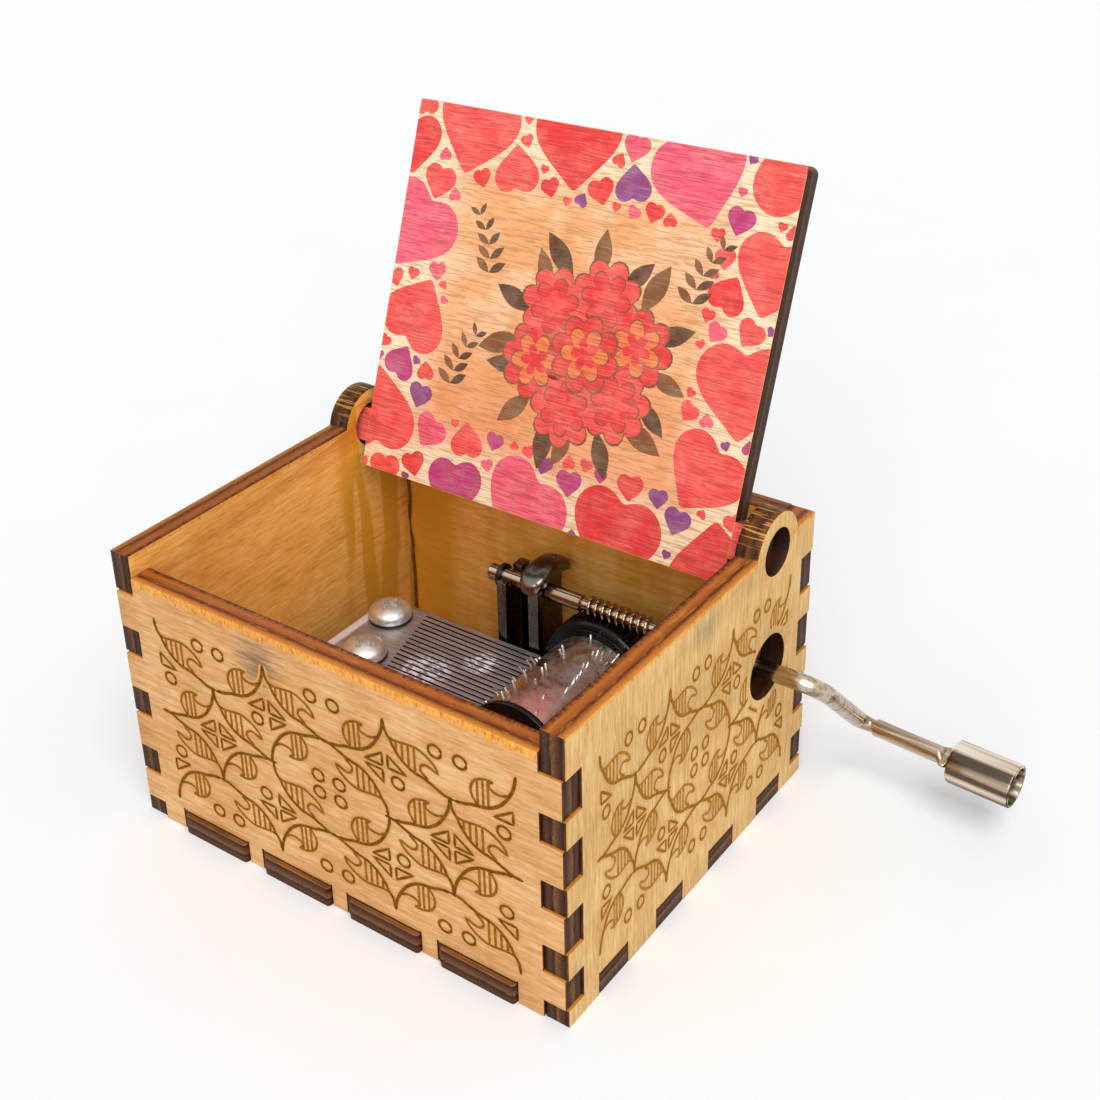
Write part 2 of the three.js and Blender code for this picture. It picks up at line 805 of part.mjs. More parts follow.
function bracketOutline(top) {
  const half = bracketDepth / 2;
  const foot = half * tenonShare;
  const shoulder = plateThickness + fitGap;
  return outline([
    [half - foot, 0], [half + foot, 0], [half + foot, shoulder], [bracketDepth, shoulder],
    ...arc(half, top - half, half, 0, Math.PI),
    [0, shoulder], [half - foot, shoulder],
  ]);
}

function hoodOutline(top) {
  const half = bracketDepth / 2;
  const rise = half - hoodDrop;
  const start = Math.asin(rise / half);
  return outline(arc(half, top - half, half, start, Math.PI - start));
}

// Thin stay: a plate with an open notch that the shaft lies in, low in front and high behind
function shaftStay() {
  const half = stayDepth / 2;
  const foot = half * tenonShare;
  const shoulder = plateThickness + fitGap;
  const notch = rodRadius + runningGap;
  const shaftPlace = shaftY - bracketFrontY;
  const rearTop = shaftHeight + stayRearRise;
  const frontTop = shaftHeight + stayFrontDrop;
  const points = [
    [half - foot, 0], [half + foot, 0], [half + foot, shoulder], [stayDepth, shoulder],
    [stayDepth, rearTop], [shaftPlace + notch, rearTop],
    ...arc(shaftPlace, shaftHeight, notch, 0, -Math.PI),
    [shaftPlace - notch, frontTop], [0, frontTop], [0, shoulder], [half - foot, shoulder],
  ];
  return acrossX(outline(points), stayThickness);
}

// A path through given points, with one sweep step from each point to the next
class PointPath extends THREE.Curve {
  constructor(points) {
    super();
    this.points = points;
  }

  getPoint(t) {
    const place = Math.min(Math.max(t, 0), 1) * (this.points.length - 1);
    const index = Math.min(Math.floor(place), this.points.length - 2);
    return this.points[index].clone().lerp(this.points[index + 1], place - index);
  }

  getUtoTmapping(u) {
    return u;
  }
}

// Points of a round bend at `corner`, from direction `before` to direction `after`
function bendPoints(corner, before, after, radius) {
  const angle = before.angleTo(after);
  const setback = radius * Math.tan(angle / 2);
  const start = corner.clone().addScaledVector(before, -setback);
  const inwards = after.clone().addScaledVector(before, -after.dot(before)).normalize();
  const centre = start.clone().addScaledVector(inwards, radius);
  return Array.from({ length: bendSteps + 1 }, (_, i) => {
    const turn = i / bendSteps * angle;
    return centre.clone()
      .addScaledVector(before, radius * Math.sin(turn))
      .addScaledVector(inwards, -radius * Math.cos(turn));
  });
}

// Directions of the crank's arm and of its handle, which leans a little out of the arm's plane
const armDirection = new THREE.Vector3(0, Math.cos(crankAngle), Math.sin(crankAngle));
const sideways = new THREE.Vector3(0, -Math.sin(crankAngle), Math.cos(crankAngle));
const handleDirection = new THREE.Vector3(Math.cos(handleLean), 0, 0)
  .addScaledVector(sideways, Math.sin(handleLean));
const handleCorner = new THREE.Vector3(armX, 0, 0).addScaledVector(armDirection, crankThrow);

// Turns a piece that is drawn along X into the handle's direction, and moves it along the handle.
function alongHandle(geometry, distance) {
  const basis = new THREE.Matrix4().makeBasis(
    handleDirection, armDirection, handleDirection.clone().cross(armDirection));
  const start = handleCorner.clone().addScaledVector(handleDirection, distance);
  return geometry.applyMatrix4(basis).translate(start.x, start.y, start.z);
}

// Crank: shaft with a rolled worm, arm and handle, bent from one rod. Drawn about the shaft axis.
function crankRod() {
  const wormEndX = wormStartX + wormLength;
  const journal = turnedOnX(journalProfile(), rodSides);
  const core = turnedOnX(bar(wormCoreRadius, wormStartX - joinOverlap, wormEndX + joinOverlap), rodSides);
  const along = new THREE.Vector3(1, 0, 0);
  const headEnd = handleLength + knobFloor + knobPlay + endHeadLength;
  const points = [
    new THREE.Vector3(wormEndX, 0, 0),
    ...bendPoints(new THREE.Vector3(armX, 0, 0), along, armDirection, armBendRadius),
    ...bendPoints(handleCorner, armDirection, handleDirection, handleBendRadius),
    handleCorner.clone().addScaledVector(handleDirection, headEnd),
  ];
  const options = { steps: points.length - 1, extrudePath: new PointPath(points) };
  const bentRod = new THREE.ExtrudeGeometry(rodSection(), options);
  const headBar = turnedOnX(bar(endHeadRadius, 0, endHeadLength), rodSides);
  const head = alongHandle(headBar, headEnd - endHeadLength);
  const crimp = alongHandle(crimpEars(), handleLength - knobPlay - crimpLength);
  return joined(journal, core, wormThread(), bentRod, head, crimp);
}

function rodSection() {
  const points = Array.from({ length: rodSides }, (_, i) => {
    const angle = i / rodSides * 2 * Math.PI;
    return [rodRadius * Math.cos(angle), rodRadius * Math.sin(angle)];
  });
  return outline(points);
}

// Two ears squeezed out of the rod, which stop the knob from sliding inwards
function crimpEars() {
  return block(
    [0, -crimpSpan / 2, -crimpThickness / 2],
    [crimpLength, crimpSpan / 2, crimpThickness / 2]).rotateX(crimpAngle);
}

// Free end of the shaft, with the groove of the retaining clip
function journalProfile() {
  const grooveStart = shaftEndX + clipInset;
  const grooveEnd = grooveStart + clipThickness + 2 * fitGap;
  const grooveRadius = rodRadius - grooveDepth;
  return [
    [0, shaftEndX],
    [rodRadius - grooveDepth, shaftEndX],
    [rodRadius, shaftEndX + grooveDepth],
    [rodRadius, grooveStart],
    [grooveRadius, grooveStart],
    [grooveRadius, grooveEnd],
    [rodRadius, grooveEnd],
    [rodRadius, wormStartX],
    [0, wormStartX],
  ];
}

// Thread of the worm: a straight-sided section carried round the shaft, one turn to each tooth of
// the wheel. The wheel's upright tooth stands midway between two turns.
function wormThread() {
  const turns = Math.floor((wormLength - threadRootWidth) / wormPitch);
  const steps = turns * threadStepsPerTurn;
  const middleTurn = Math.round((cylinderX - wormStartX) / wormPitch);
  const firstX = cylinderX - (middleTurn - 0.5) * wormPitch;
  const section = [
    [-threadRootWidth / 2, wormCoreRadius - joinOverlap],
    [-threadCrestWidth / 2, wormCrestRadius],
    [threadCrestWidth / 2, wormCrestRadius],
    [threadRootWidth / 2, wormCoreRadius - joinOverlap],
  ];
  const positions = [];
  const index = [];
  const corners = section.length;
  for (let step = 0; step <= steps; step += 1) {
    const turn = step / threadStepsPerTurn;
    const angle = turn * 2 * Math.PI - Math.PI / 2;
    section.forEach(([offset, radius]) => {
      positions.push(firstX + turn * wormPitch + offset, radius * Math.cos(angle), radius * Math.sin(angle));
    });
  }
  for (let step = 0; step < steps; step += 1) {
    for (let corner = 0; corner < corners; corner += 1) {
      const near = step * corners + corner;
      const nearNext = step * corners + (corner + 1) % corners;
      index.push(near, near + corners, nearNext, nearNext, near + corners, nearNext + corners);
    }
  }
  const last = steps * corners;
  index.push(0, 1, 2, 0, 2, 3);
  index.push(last, last + 2, last + 1, last, last + 3, last + 2);
  const thread = new THREE.BufferGeometry();
  thread.setAttribute("position", new THREE.Float32BufferAttribute(positions, 3));
  thread.setIndex(index);
  return thread;
}

// Retaining clip: a ring with a mouth, drawn in (y, z)
function retainingClip() {
  const bore = rodRadius - grooveDepth + fitGap;
  const outerStart = Math.asin(clipMouth / 2 / clipRadius);
  const innerStart = Math.asin(clipMouth / 2 / bore);
  const points = [
    ...arc(0, 0, clipRadius, outerStart, 2 * Math.PI - outerStart),
    ...arc(0, 0, bore, 2 * Math.PI - innerStart, innerStart, facetAngle * 2),
  ];
  return acrossX(outline(points), clipThickness);
}

// Knob: a cup with a bored floor, drawn from its floor along X
function knob() {
  const bore = rodRadius + runningGap;
  const inner = knobRadius - knobWall;
  return turnedOnX([
    [bore, 0],
    [knobRadius - knobEdgeRound, 0],
    [knobRadius, knobEdgeRound],
    [knobRadius, knobLength - knobEdgeRound / 2],
    [knobRadius - knobEdgeRound / 2, knobLength],
    [inner, knobLength],
    [inner, knobFloor],
    [bore, knobFloor],
    [bore, 0],
  ], roundSides);
}

function place(parent, name, geometry, finish, x = 0, y = 0, z = 0) {
  const mesh = new THREE.Mesh(geometry, finish);
  mesh.name = name;
  mesh.position.set(x, y, z);
  parent.add(mesh);
  return mesh;
}

function buildBox(parent) {
  place(parent, "left_panel", sidePanel(), plywood(), -halfWidth);
  place(parent, "right_panel", sidePanel(crankHole()), plywood(), innerHalfWidth);
  place(parent, "front_panel", endPanel(frontHeight), plywood(), 0, -halfDepth);
  place(parent, "back_panel", endPanel(sideHeight), plywood(), 0, innerHalfDepth);
  place(parent, "bottom_panel", bottomPanel(), plywood());
  baseScrewPlaces().forEach(([x, y], i) => {
    place(parent, `base_screw_${i + 1}`, baseScrew(), darkSteel(), x, y);
  });
}

function buildLid(parent) {
  const hinge = new THREE.Group();
  hinge.position.set(lidSideShift, pivotY, pivotZ);
  hinge.rotation.x = -lidOpenAngle;
  place(hinge, "lid_panel", lidPanel(), printedPly());
  parent.add(hinge);
}

function buildFrame(movement) {
  place(movement, "bed_plate", bedPlate(), castZinc());
  place(movement, "shaft_bracket_left", shaftBracket(bracketTop), gunmetal(), bracketX, bracketFrontY);
  place(movement, "shaft_bracket_right", shaftBracket(bracketTop - rightBracketDrop), gunmetal(),
    rightBracketX, bracketFrontY);
  place(movement, "shaft_stay", shaftStay(), gunmetal(), stayX, bracketFrontY);
  place(movement, "arbor_bearing_front", bearingPlate(), gunmetal(), cylinderX, frontBearingY);
  place(movement, "arbor_bearing_rear", bearingPlate(), gunmetal(), cylinderX, rearBearingY);
}

function buildComb(movement) {
  place(movement, "comb", comb(), combSteel());
  const names = ["rear", "front"];
  combScrewPlaces().forEach(([x, y], i) => {
    place(movement, `comb_washer_${names[i]}`, combWasher(), darkSteel(), x, y);
    place(movement, `comb_screw_${names[i]}`, combScrew(), nickel(), x, y);
  });
}

function buildCylinder(movement) {
  const axle = new THREE.Group();
  axle.position.set(cylinderX, 0, cylinderHeight);
  place(axle, "pinned_cylinder", pinnedDrum(), drumNickel());
  place(axle, "cylinder_arbor", arbor(), nickel());
  place(axle, "cylinder_cap", frontCap(), blackPlastic());
  place(axle, "worm_wheel", wormWheel(), blackPlastic());
  movement.add(axle);
}

function buildCrank(movement) {
  const shaft = new THREE.Group();
  shaft.position.set(0, shaftY, shaftHeight);
  place(shaft, "crank_rod", crankRod(), nickel());
  place(shaft, "retaining_clip", retainingClip(), darkSteel(), shaftEndX + clipInset + fitGap);
  movement.add(shaft);
  place(shaft, "crank_knob", alongHandle(knob(), handleLength), nickel());
}

function buildMusicBox() {
  const musicBox = new THREE.Group();
  const movement = new THREE.Group();
  movement.position.set(0, 0, ply);
  buildBox(musicBox);
  buildLid(musicBox);
  buildFrame(movement);
  buildComb(movement);
  buildCylinder(movement);
  buildCrank(movement);
  musicBox.add(movement);
  return musicBox;
}

const group = buildMusicBox();

export default group;
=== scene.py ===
import json
import math
import random

import bpy
import numpy
from mathutils import Matrix, Vector


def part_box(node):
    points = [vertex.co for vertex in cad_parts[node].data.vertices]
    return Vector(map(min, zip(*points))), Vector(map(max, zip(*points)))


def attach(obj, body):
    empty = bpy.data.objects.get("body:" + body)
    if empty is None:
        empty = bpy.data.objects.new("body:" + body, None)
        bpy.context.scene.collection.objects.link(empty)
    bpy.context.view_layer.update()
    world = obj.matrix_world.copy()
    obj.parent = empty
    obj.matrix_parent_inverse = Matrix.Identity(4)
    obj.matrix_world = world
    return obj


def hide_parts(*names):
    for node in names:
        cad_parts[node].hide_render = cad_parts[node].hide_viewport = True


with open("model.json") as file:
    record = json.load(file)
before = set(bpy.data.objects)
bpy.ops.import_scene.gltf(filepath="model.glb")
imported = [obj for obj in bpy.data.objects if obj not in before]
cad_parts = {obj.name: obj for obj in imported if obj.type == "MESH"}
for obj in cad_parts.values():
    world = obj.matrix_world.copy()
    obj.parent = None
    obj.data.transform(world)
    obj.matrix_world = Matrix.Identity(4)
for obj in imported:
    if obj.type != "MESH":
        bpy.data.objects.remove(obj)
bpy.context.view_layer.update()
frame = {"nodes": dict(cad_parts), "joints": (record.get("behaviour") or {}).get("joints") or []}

# A small plywood music box with a crank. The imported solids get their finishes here, and the burnt
# ornament, the print inside the lid and the finer metal pieces are added. Lengths are metres.

# Camera, with pixels of the square photograph where a name says so
PHOTO_PIXELS = 1100
FOCAL_PIXELS = 1652.0
CENTRE_PIXEL_X = 509.8
CENTRE_PIXEL_Y = 442.2
SENSOR_WIDTH = 36
CAMERA_PLACE = Vector((0.104994, -0.130623, 0.135807))
CAMERA_YAW = 0.644
CAMERA_PITCH = 0.476
CAMERA_ROLL = -0.033
CAMERA_NEAR_LIMIT = 0.005

# Directions and axes of the frame, and the signs of two sides and of four quarters
RIGHT = Vector((1, 0, 0))
REAR = Vector((0, 1, 0))
UP = Vector((0, 0, 1))
X_AXIS, Y_AXIS, Z_AXIS = range(3)
SIDES = (-1, 1)
QUARTERS = ((-1, -1), (-1, 1), (1, -1), (1, 1))

# Light and floor
FLOOR_SIZE = 6.0
FLOOR_GRAIN_SCALE = 40
FLOOR_TONES = ((0.948, 0.962, 0.98, 1), (0.958, 0.972, 0.99, 1))
FLOOR_DROP = 0.00003
SUN_STRENGTH = 1.3
SUN_SPREAD = math.radians(34)
SUN_DIRECTION = Vector((0.40, -0.36, 0.84))
FILL_STRENGTH = 1.05
FILL_SPREAD = math.radians(44)
FILL_DIRECTION = Vector((0.42, -0.75, 0.50))
SKY_STRENGTH = 0.5

# Plywood, with scales of its grain in features per metre
PLY = 0.003
END_RECESS = 0.00028
GRAIN_STRETCH = 0.09
FINE_FIBRE_SCALE = 6200
COARSE_FIBRE_SCALE = 1900
PORE_SCALE = 3600
CLOUD_SCALE = 120
FIBRE_RELIEF = 0.00006
FRINGE_DEPTH = 0.0004
FRONT_FRINGE_DEPTH = 0.0011

# Burnt edges, smudges and stains on the plywood, in features per metre
EDGE_LAYER_SCALE = 3000
EDGE_RIDGE_SCALE = 2500
FINE_RIDGE_SCALE = 4300
SPECKLE_SCALE = 5200
FRINGE_SCALE = 1500
FRINGE_FLECK_SCALE = 3600
BURN_SCALE = 1500
SMUDGE_SCALE = 2600
LEFT_STAIN_SCALE = 330
BACK_STAIN_SCALE = 260

# Softened edges and the depth of surface relief
WELD_DISTANCE = 0.000001
END_TOLERANCE = 0.00001
SOFT_EDGE = 0.00014
SCREW_EDGE = 0.00022
PLATE_EDGE = 0.00018
KNOB_EDGE = 0.00016
SMALL_EDGE = 0.0001
FINE_EDGE = 0.00005
BRUSHED_RELIEF = 0.00001
COMB_RELIEF = 0.00002
CAST_RELIEF = 0.00004
ROUGH_RELIEF = 0.0001

# Front tabs of the bottom panel, and the noses by which they stand out of the wall
TAB_COUNT = 4
TAB_MARGIN = 0.00665
TAB_GAP = 0.0025
NOSE_REACH = 0.0006
NOSE_SLOT = 0.00055
NOSE_CORNER = 0.00045
NOSE_LOW = 0.00005
NOSE_HIGH = 0.00275
NOSE_ROOT = 0.0006

# Marks of use: place across the wall, height, radius and strength of a smudge, and where old glue lies
FRONT_SMUDGE = (-0.0092, 0.0308, 0.0056, 0.85)
RIGHT_SMUDGE = (0.0010, 0.0356, 0.0045, 0.45)
LEFT_STAIN_START = 0.0085
BACK_STAIN_END = -0.0205
SEAM_WIDTH = 0.0006
SEAM_INSET = 0.0002
SEAM_STEPS = 14
SEAM_SWAY_SHARES = (-0.3, 0.5)
SEAM_SEED = 5

# Burnt ornament: a lattice of leafy cells on each wall, by its left, right, bottom and top
ORNAMENT_COLUMNS = 6
ORNAMENT_ROWS = ("LRLRLR", "RLrlRL", "lrLRlr", "rlrlrl")
FRONT_ORNAMENT = (-0.0258, 0.0261, 0.0046, 0.0310)
SIDE_ORNAMENT = (-0.0203, 0.0206, 0.0056, 0.0321)
STEM_WIDTH = 0.0004
LINE_WIDTH = 0.00032
HALO_SPREAD = 0.0007
STROKE_STEP = 0.0005
HALO_LIFT = 0.000004
STROKE_LIFT = 0.00003
LIFT_STEP = 0.0000006
LIFT_STEPS = 20
POINT_LIFT = 0.00000005
HALO_HEAT = 0.6
LINE_HEAT = 0.72
END_HEAT = 0.85
END_TAPER = 0.5
HOLE_CLEARANCE = 0.0001
CRANK_HOLE_RADIUS = 0.0042
CRANK_HOLE_SHIFT = Vector((0, -0.0004, 0.0008))
PIVOT_HOLE_RADIUS = 0.003
FRONT_BURN = 1.25
SIDE_BURN = 0.85
SEAM_BURN = 1.3

# One cell's drawing in shares of its width and height: a stem, a leaf that curls back, a hatch
FALLING_STEM_SHARES = ((0.01, 1.01), (0.035, 0.79), (0.10, 0.67), (0.16, 0.515), (0.28, 0.33),
                       (0.44, 0.21), (0.61, 0.165), (0.79, 0.08), (0.925, 0.01), (1.07, 0.0))
FALLING_LEAF_SHARES = ((0.07, 0.70), (0.17, 0.665), (0.38, 0.70), (0.52, 0.71), (0.67, 0.635),
                       (0.79, 0.515), (0.845, 0.38), (0.775, 0.41), (0.67, 0.455), (0.59, 0.41),
                       (0.565, 0.32), (0.61, 0.24), (0.69, 0.18))
FALLING_HATCH_SHARES = (0.20, 0.295, 0.39, 0.485)
RISING_STEM_SHARES = ((0.075, 0.0), (0.22, 0.03), (0.36, 0.09), (0.595, 0.165), (0.77, 0.32),
                      (0.895, 0.545), (0.975, 0.77), (1.01, 1.01))
RISING_LEAF_SHARES = ((0.91, 0.605), (0.83, 0.53), (0.71, 0.515), (0.62, 0.56), (0.615, 0.66),
                      (0.675, 0.70), (0.56, 0.70), (0.42, 0.62), (0.345, 0.47), (0.34, 0.32),
                      (0.40, 0.18), (0.44, 0.12))
RISING_HATCH_SHARES = (0.435, 0.52, 0.595)
CELL_SHARES = {
    "L": (FALLING_STEM_SHARES, FALLING_LEAF_SHARES, FALLING_HATCH_SHARES),
    "R": (RISING_STEM_SHARES, RISING_LEAF_SHARES, RISING_HATCH_SHARES),
}
HATCH_LEAST_SHARE = 0.08
LEAF_BACK_POINTS = 7
LEAF_CURL_START = 5
LEAF_BURN = 0.85
HATCH_BURN = 0.75

# Small figures between the cells, in shares of a cell
OVAL_WIDTH_SHARE = 0.20
OVAL_HEIGHT_SHARE = 0.24
OVAL_GAP_SHARE = 0.19
OVAL_EDGE_SHARE = 0.19
CENTRE_OVAL_SHARE = 0.18
DIAMOND_WIDTH_SHARE = 0.33
DIAMOND_HEIGHT_SHARE = 0.30
DIAMOND_GAP_SHARE = 0.045
CLUSTER_OVAL_SHIFT_SHARE = 0.19
OVAL_SIDES = 16

# Lid and the print on its inner face
LID_OPEN_ANGLE = math.radians(110)
LID_HALF_WIDTH = 0.02745
LID_REACH = 0.0433
LID_TAIL = 0.0054
PEG_HALF_WIDTH = 0.0022
PEG_PRINT_END = 0.0295
PRINT_INSET = 0.00005
PRINT_CORNER = 0.001
PRINT_LIFT = 0.000008
INK_LIFT = 0.000007
HEART_LAYER = 1
LEAF_LAYER = 2
BLOSSOM_LAYER = 3
PRINT_LINE_SCALE = 5200
PRINT_LINE_STRETCH = 0.05
PRINT_WAVE_SCALE = 240
PRINT_WAVE_HEIGHT = 0.0005
INK_CLOUD_SCALE = 320
INK_SPECK_SCALE = 3500
GROUND_CLOUD_SCALE = 130

# Hearts of the print's border
HEART_POINTS = 44
HEART_BAND = 0.0100
HEART_GAP = 0.00042
HEART_SIZES = (0.0125, 0.0105, 0.0085, 0.0066, 0.0050, 0.0037, 0.0027, 0.0019, 0.0013)
HEART_TRIES = (90, 400, 1200, 2200, 3500, 4500, 5500, 6000, 6000)
HEART_ROUNDNESS = 0.36
HEART_TILTS = (-0.45, -0.15, 0.1, 0.4, 2.8, 3.3)
HEART_INKS = ("coral", "coral", "coral", "red", "red", "pink")
SMALL_HEART = 0.009
SMALL_HEART_INKS = ("purple", "purple", "magenta")
SMALL_HEART_SHARE = 0.3
PACKING_CELL = 0.00025
STAMP_MARGIN_CELLS = 3
PRINT_SEED = 41

# Bunch of flowers in the middle of the print, and the twigs beside it
BUNCH_CENTRE = Vector((0.0035, 0.0165))
BLOSSOM_RADIUS = 0.0048
BLOSSOM_RINGS = ((1, 0.0), (6, 0.0073))
BLOSSOM_TURN_SHARE = 0.3
PETAL_SIDES = 16
PETAL_WIDTH_SHARE = 0.74
LEAF_LENGTH = 0.0068
LEAF_LENGTH_SHARES = (0.8, 0.9, 1.0)
LEAF_COUNT = 16
LEAF_DISTANCE = 0.0093
LEAF_STEPS = 8
LEAF_WIDTH_SHARE = 0.2
LEAF_TURN = 0.35
SPRIG_PLACES = (Vector((-0.0155, 0.0085)), Vector((-0.0125, 0.0235)), Vector((0.0165, 0.0255)))
SPRIG_LEAF = 0.0028
SPRIG_STEP = 0.0017
SPRIG_LEAVES = 5
SPRIG_LEAN = 0.1
SPRIG_SPREAD = 0.95
SPRIG_CLOSING = 0.05
SPRIG_SHRINK_SHARE = 0.09

# Crank rod
ARM_X = 0.0388
ROD_RADIUS = 0.0011
ROD_SIDES = 28
ARM_BEND_RADIUS = 0.0032
HANDLE_BEND_RADIUS = 0.0019
BEND_STEPS = 14
ROD_END_CHAMFER = 0.00025
GROOVE_START = 0.0017
GROOVE_WIDTH = 0.00062
GROOVE_DEPTH = 0.00025
CREASE_SPREAD = 0.00014
CREASE_PRESS = 0.0003
CREASE_FADE = 0.004
CREASE_TURN = math.radians(45)
CRIMP_LENGTH = 0.001
CRIMP_GAP = 0.0003
CRIMP_HALF_SPAN = 0.00175
CRIMP_HALF_THICKNESS = 0.00055
CRIMP_TURN = math.radians(105)
CRIMP_SHARES = ((-0.5, 0.0), (0.0, 0.55), (0.2, 1.0), (0.8, 1.0), (1.0, 0.6), (1.2, 0.0))
HEAD_RADIUS = 0.00175
HEAD_LENGTH = 0.0006
HEAD_PROFILE_SHARES = ((0.0, 1.0), (0.7, 1.0), (1.0, 0.8))
KNOB_FLOOR = 0.001
KNOB_PLAY = 0.0003

# Painted reflections in bands along rod and knob: features per metre, how strong they are, their tones
ROD_REFLECTION_SCALE = 620
ROD_REFLECTION_STRENGTH = 0.4
KNOB_REFLECTION_SCALE = 330
KNOB_REFLECTION_STRENGTH = 1.0
PAINTED_REFLECTION_TONES = ((0.40, (0.10, 0.08, 0.06, 1)), (0.45, (0.56, 0.42, 0.30, 1)),
              (0.52, (0.92, 0.84, 0.72, 1)), (0.60, (0.36, 0.28, 0.20, 1)))
BAND_MEAN_TONE = (0.42, 0.31, 0.21, 1)
HAIRLINE_TONE = (0.2, 0.15, 0.1, 1)

# Worm on the crank rod
WORM_START_X = 0.0057
WORM_LENGTH = 0.0108
WORM_PITCH = 0.00105
WORM_CORE_RADIUS = 0.00078
WORM_CREST_RADIUS = 0.00142
WORM_ROOT_HALF_WIDTH = 0.0003
WORM_CREST_HALF_WIDTH = 0.00014
WORM_ROOT_SHARE = 0.8
WORM_SIDE_SHARE = 0.97
WORM_STEPS_PER_TURN = 32

# Retaining clip, and the left shaft bracket with its hood
CLIP_RADIUS = 0.00160
CLIP_MOUTH = math.radians(80)
BRACKET_LEG = 0.0012
BRACKET_WEB = 0.0012
BRACKET_TOP_SHARE = 0.7
SHAFT_PLAY = 0.00012
HOOD_HALF_WIDTH = 0.00185
HOOD_HALF_LENGTH = 0.0044
HOOD_THICKNESS = 0.0016
HOOD_DROOP = 0.0013
HOOD_LEVEL_SHARES = ((0.08, 1.0), (0.0, 0.92), (0.0, 0.4), (0.07, 0.2), (0.22, 0.08), (0.5, 0.02),
                     (0.97, 0.0))
HOOD_SIDE_STEPS = 10
RIVET_RADIUS = 0.00042
RIVET_RISE = 0.00016
RIVET_SHIFT_Y = 0.0019
RIVET_SIDES = 24
RIVET_PROFILE_SHARES = ((1.0, -1.0), (0.9, 0.5), (0.5, 1.0))

# Glossy collar in front of the worm wheel: radius, and distance in front of the collar's rear
COLLAR_PROFILE = ((0.0060, 0.00118), (0.0069, 0.00118), (0.00715, 0.00108), (0.00722, 0.00080),
                  (0.00745, 0.00070), (0.00800, 0.00068), (0.00822, 0.00050), (0.00828, 0.00025),
                  (0.00822, 0.0))
COLLAR_REAR_Y = 0.0146
ROUND_STEPS = 96

# Comb: painted highlight patches as place and radius, and a painted highlight on the end behind the screws
COMB_HIGHLIGHT_PATCHES = (((-0.0097, 0.0024, 0.013), 0.0043), ((-0.0046, 0.0076, 0.013), 0.0029))
COMB_HIGHLIGHT_END_X = -0.0236
COMB_HIGHLIGHT_FADE = 0.0006
COMB_BRUSH_SCALE = 2600
COMB_FLECK_SCALE = 2100
COMB_TONES = ((0.33, 0.285, 0.28, 1), (0.54, 0.48, 0.475, 1))
COMB_HIGHLIGHT_TONE = (0.82, 0.80, 0.88, 1)
# Painted shade: near black for comb faces that don't look up, such as the tooth sides in their gaps
COMB_GAP_SHADE_TONE = (0.01, 0.009, 0.009, 1)

# Skin and added pins of the cylinder
DRUM_SKIN_RADIUS = 0.00662
DRUM_FRONT_Y = -0.0032
DRUM_REAR_Y = 0.0133
TRACK_COUNT = 18
TRACK_PITCH = 0.0009
TRACKS_START_Y = 0.0132
PIN_RADIUS = 0.0002
PIN_ROOT_RADIUS = 0.0064
PIN_TIP_RADIUS = 0.00695
PIN_TIP_SHARE = 0.6
PIN_SIDES = 8
PINS_PER_TRACK = 4
PIN_SEED = 7

# Other metals: colour, worn colour, roughness, how much rougher in places, features per metre, relief
# and share of metal
METALS = {
    "nickel": ((0.34, 0.26, 0.18, 1), (0.22, 0.165, 0.11, 1), 0.13, 0.12, 900, BRUSHED_RELIEF, 1.0),
    "bright_nickel": ((0.85, 0.84, 0.82, 1), (0.70, 0.69, 0.66, 1), 0.26, 0.2, 1500, ROUGH_RELIEF, 0.85),
    "drum_nickel": ((0.60, 0.54, 0.49, 1), (0.50, 0.43, 0.38, 1), 0.2, 0.2, 700, BRUSHED_RELIEF, 1.0),
    "cast_zinc": ((0.36, 0.33, 0.33, 1), (0.22, 0.2, 0.19, 1), 0.4, 0.25, 1200, CAST_RELIEF, 1.0),
    "gunmetal": ((0.15, 0.13, 0.12, 1), (0.24, 0.2, 0.17, 1), 0.2, 0.14, 1100, CAST_RELIEF, 1.0),
    "dark_steel": ((0.045, 0.04, 0.04, 1), (0.09, 0.08, 0.07, 1), 0.3, 0.2, 1500, BRUSHED_RELIEF, 1.0),
}

# Black plastic, with its dust
PLASTIC_TONES = ((0.004, 0.004, 0.005, 1), (0.08, 0.075, 0.07, 1))
PLASTIC_DUST_SCALE = 2600
PLASTIC_FLOW_SCALE = 300

# Angle from which an edge stays sharp, for most pieces and for rounded ones
SHARP_ANGLE = math.radians(32)
ROUNDED_ANGLE = math.radians(60)

# Colours, written as in a paint program
COLOURS = {
    "tan_light": "#E4B985",
    "tan_mid": "#D6A068",
    "tan_deep": "#B78045",
    "pale_light": "#E9C78A",
    "pale_mid": "#DCB070",
    "pale_deep": "#BC8C4C",
    "inner_light": "#F9C472",
    "inner_mid": "#F0AE55",
    "inner_deep": "#CE8C30",
    "pore": "#94622C",
    "stain": "#CE8E1C",
    "smudge": "#6E5A44",
    "fringe": "#E59335",
    "fringe_gold": "#F2B45A",
    "rim_gold": "#D08A38",
    "rim_orange": "#B8682A",
    "rim_brown": "#965020",
    "rim_dark": "#562810",
    "end_glow": "#74401A",
    "end_dark": "#28140A",
    "end_mid": "#59361E",
    "end_pale": "#7E522E",
    "hole_dark": "#24110A",
    "burn_soft": "#C8861C",
    "burn_deep": "#643800",
    "cream": "#FADFBB",
    "peach": "#F8C59A",
    "tan": "#EDA972",
    "coral": "#F8534F",
    "red": "#EC3A3C",
    "pink": "#F6607A",
    "magenta": "#C23D7C",
    "purple": "#8A4585",
    "orange": "#F08048",
    "leaf": "#4A3A20",
    "leaf_warm": "#7A5228",
    "ink_line": "#A13C34",
}
TAN = ("tan_light", "tan_mid", "tan_deep")
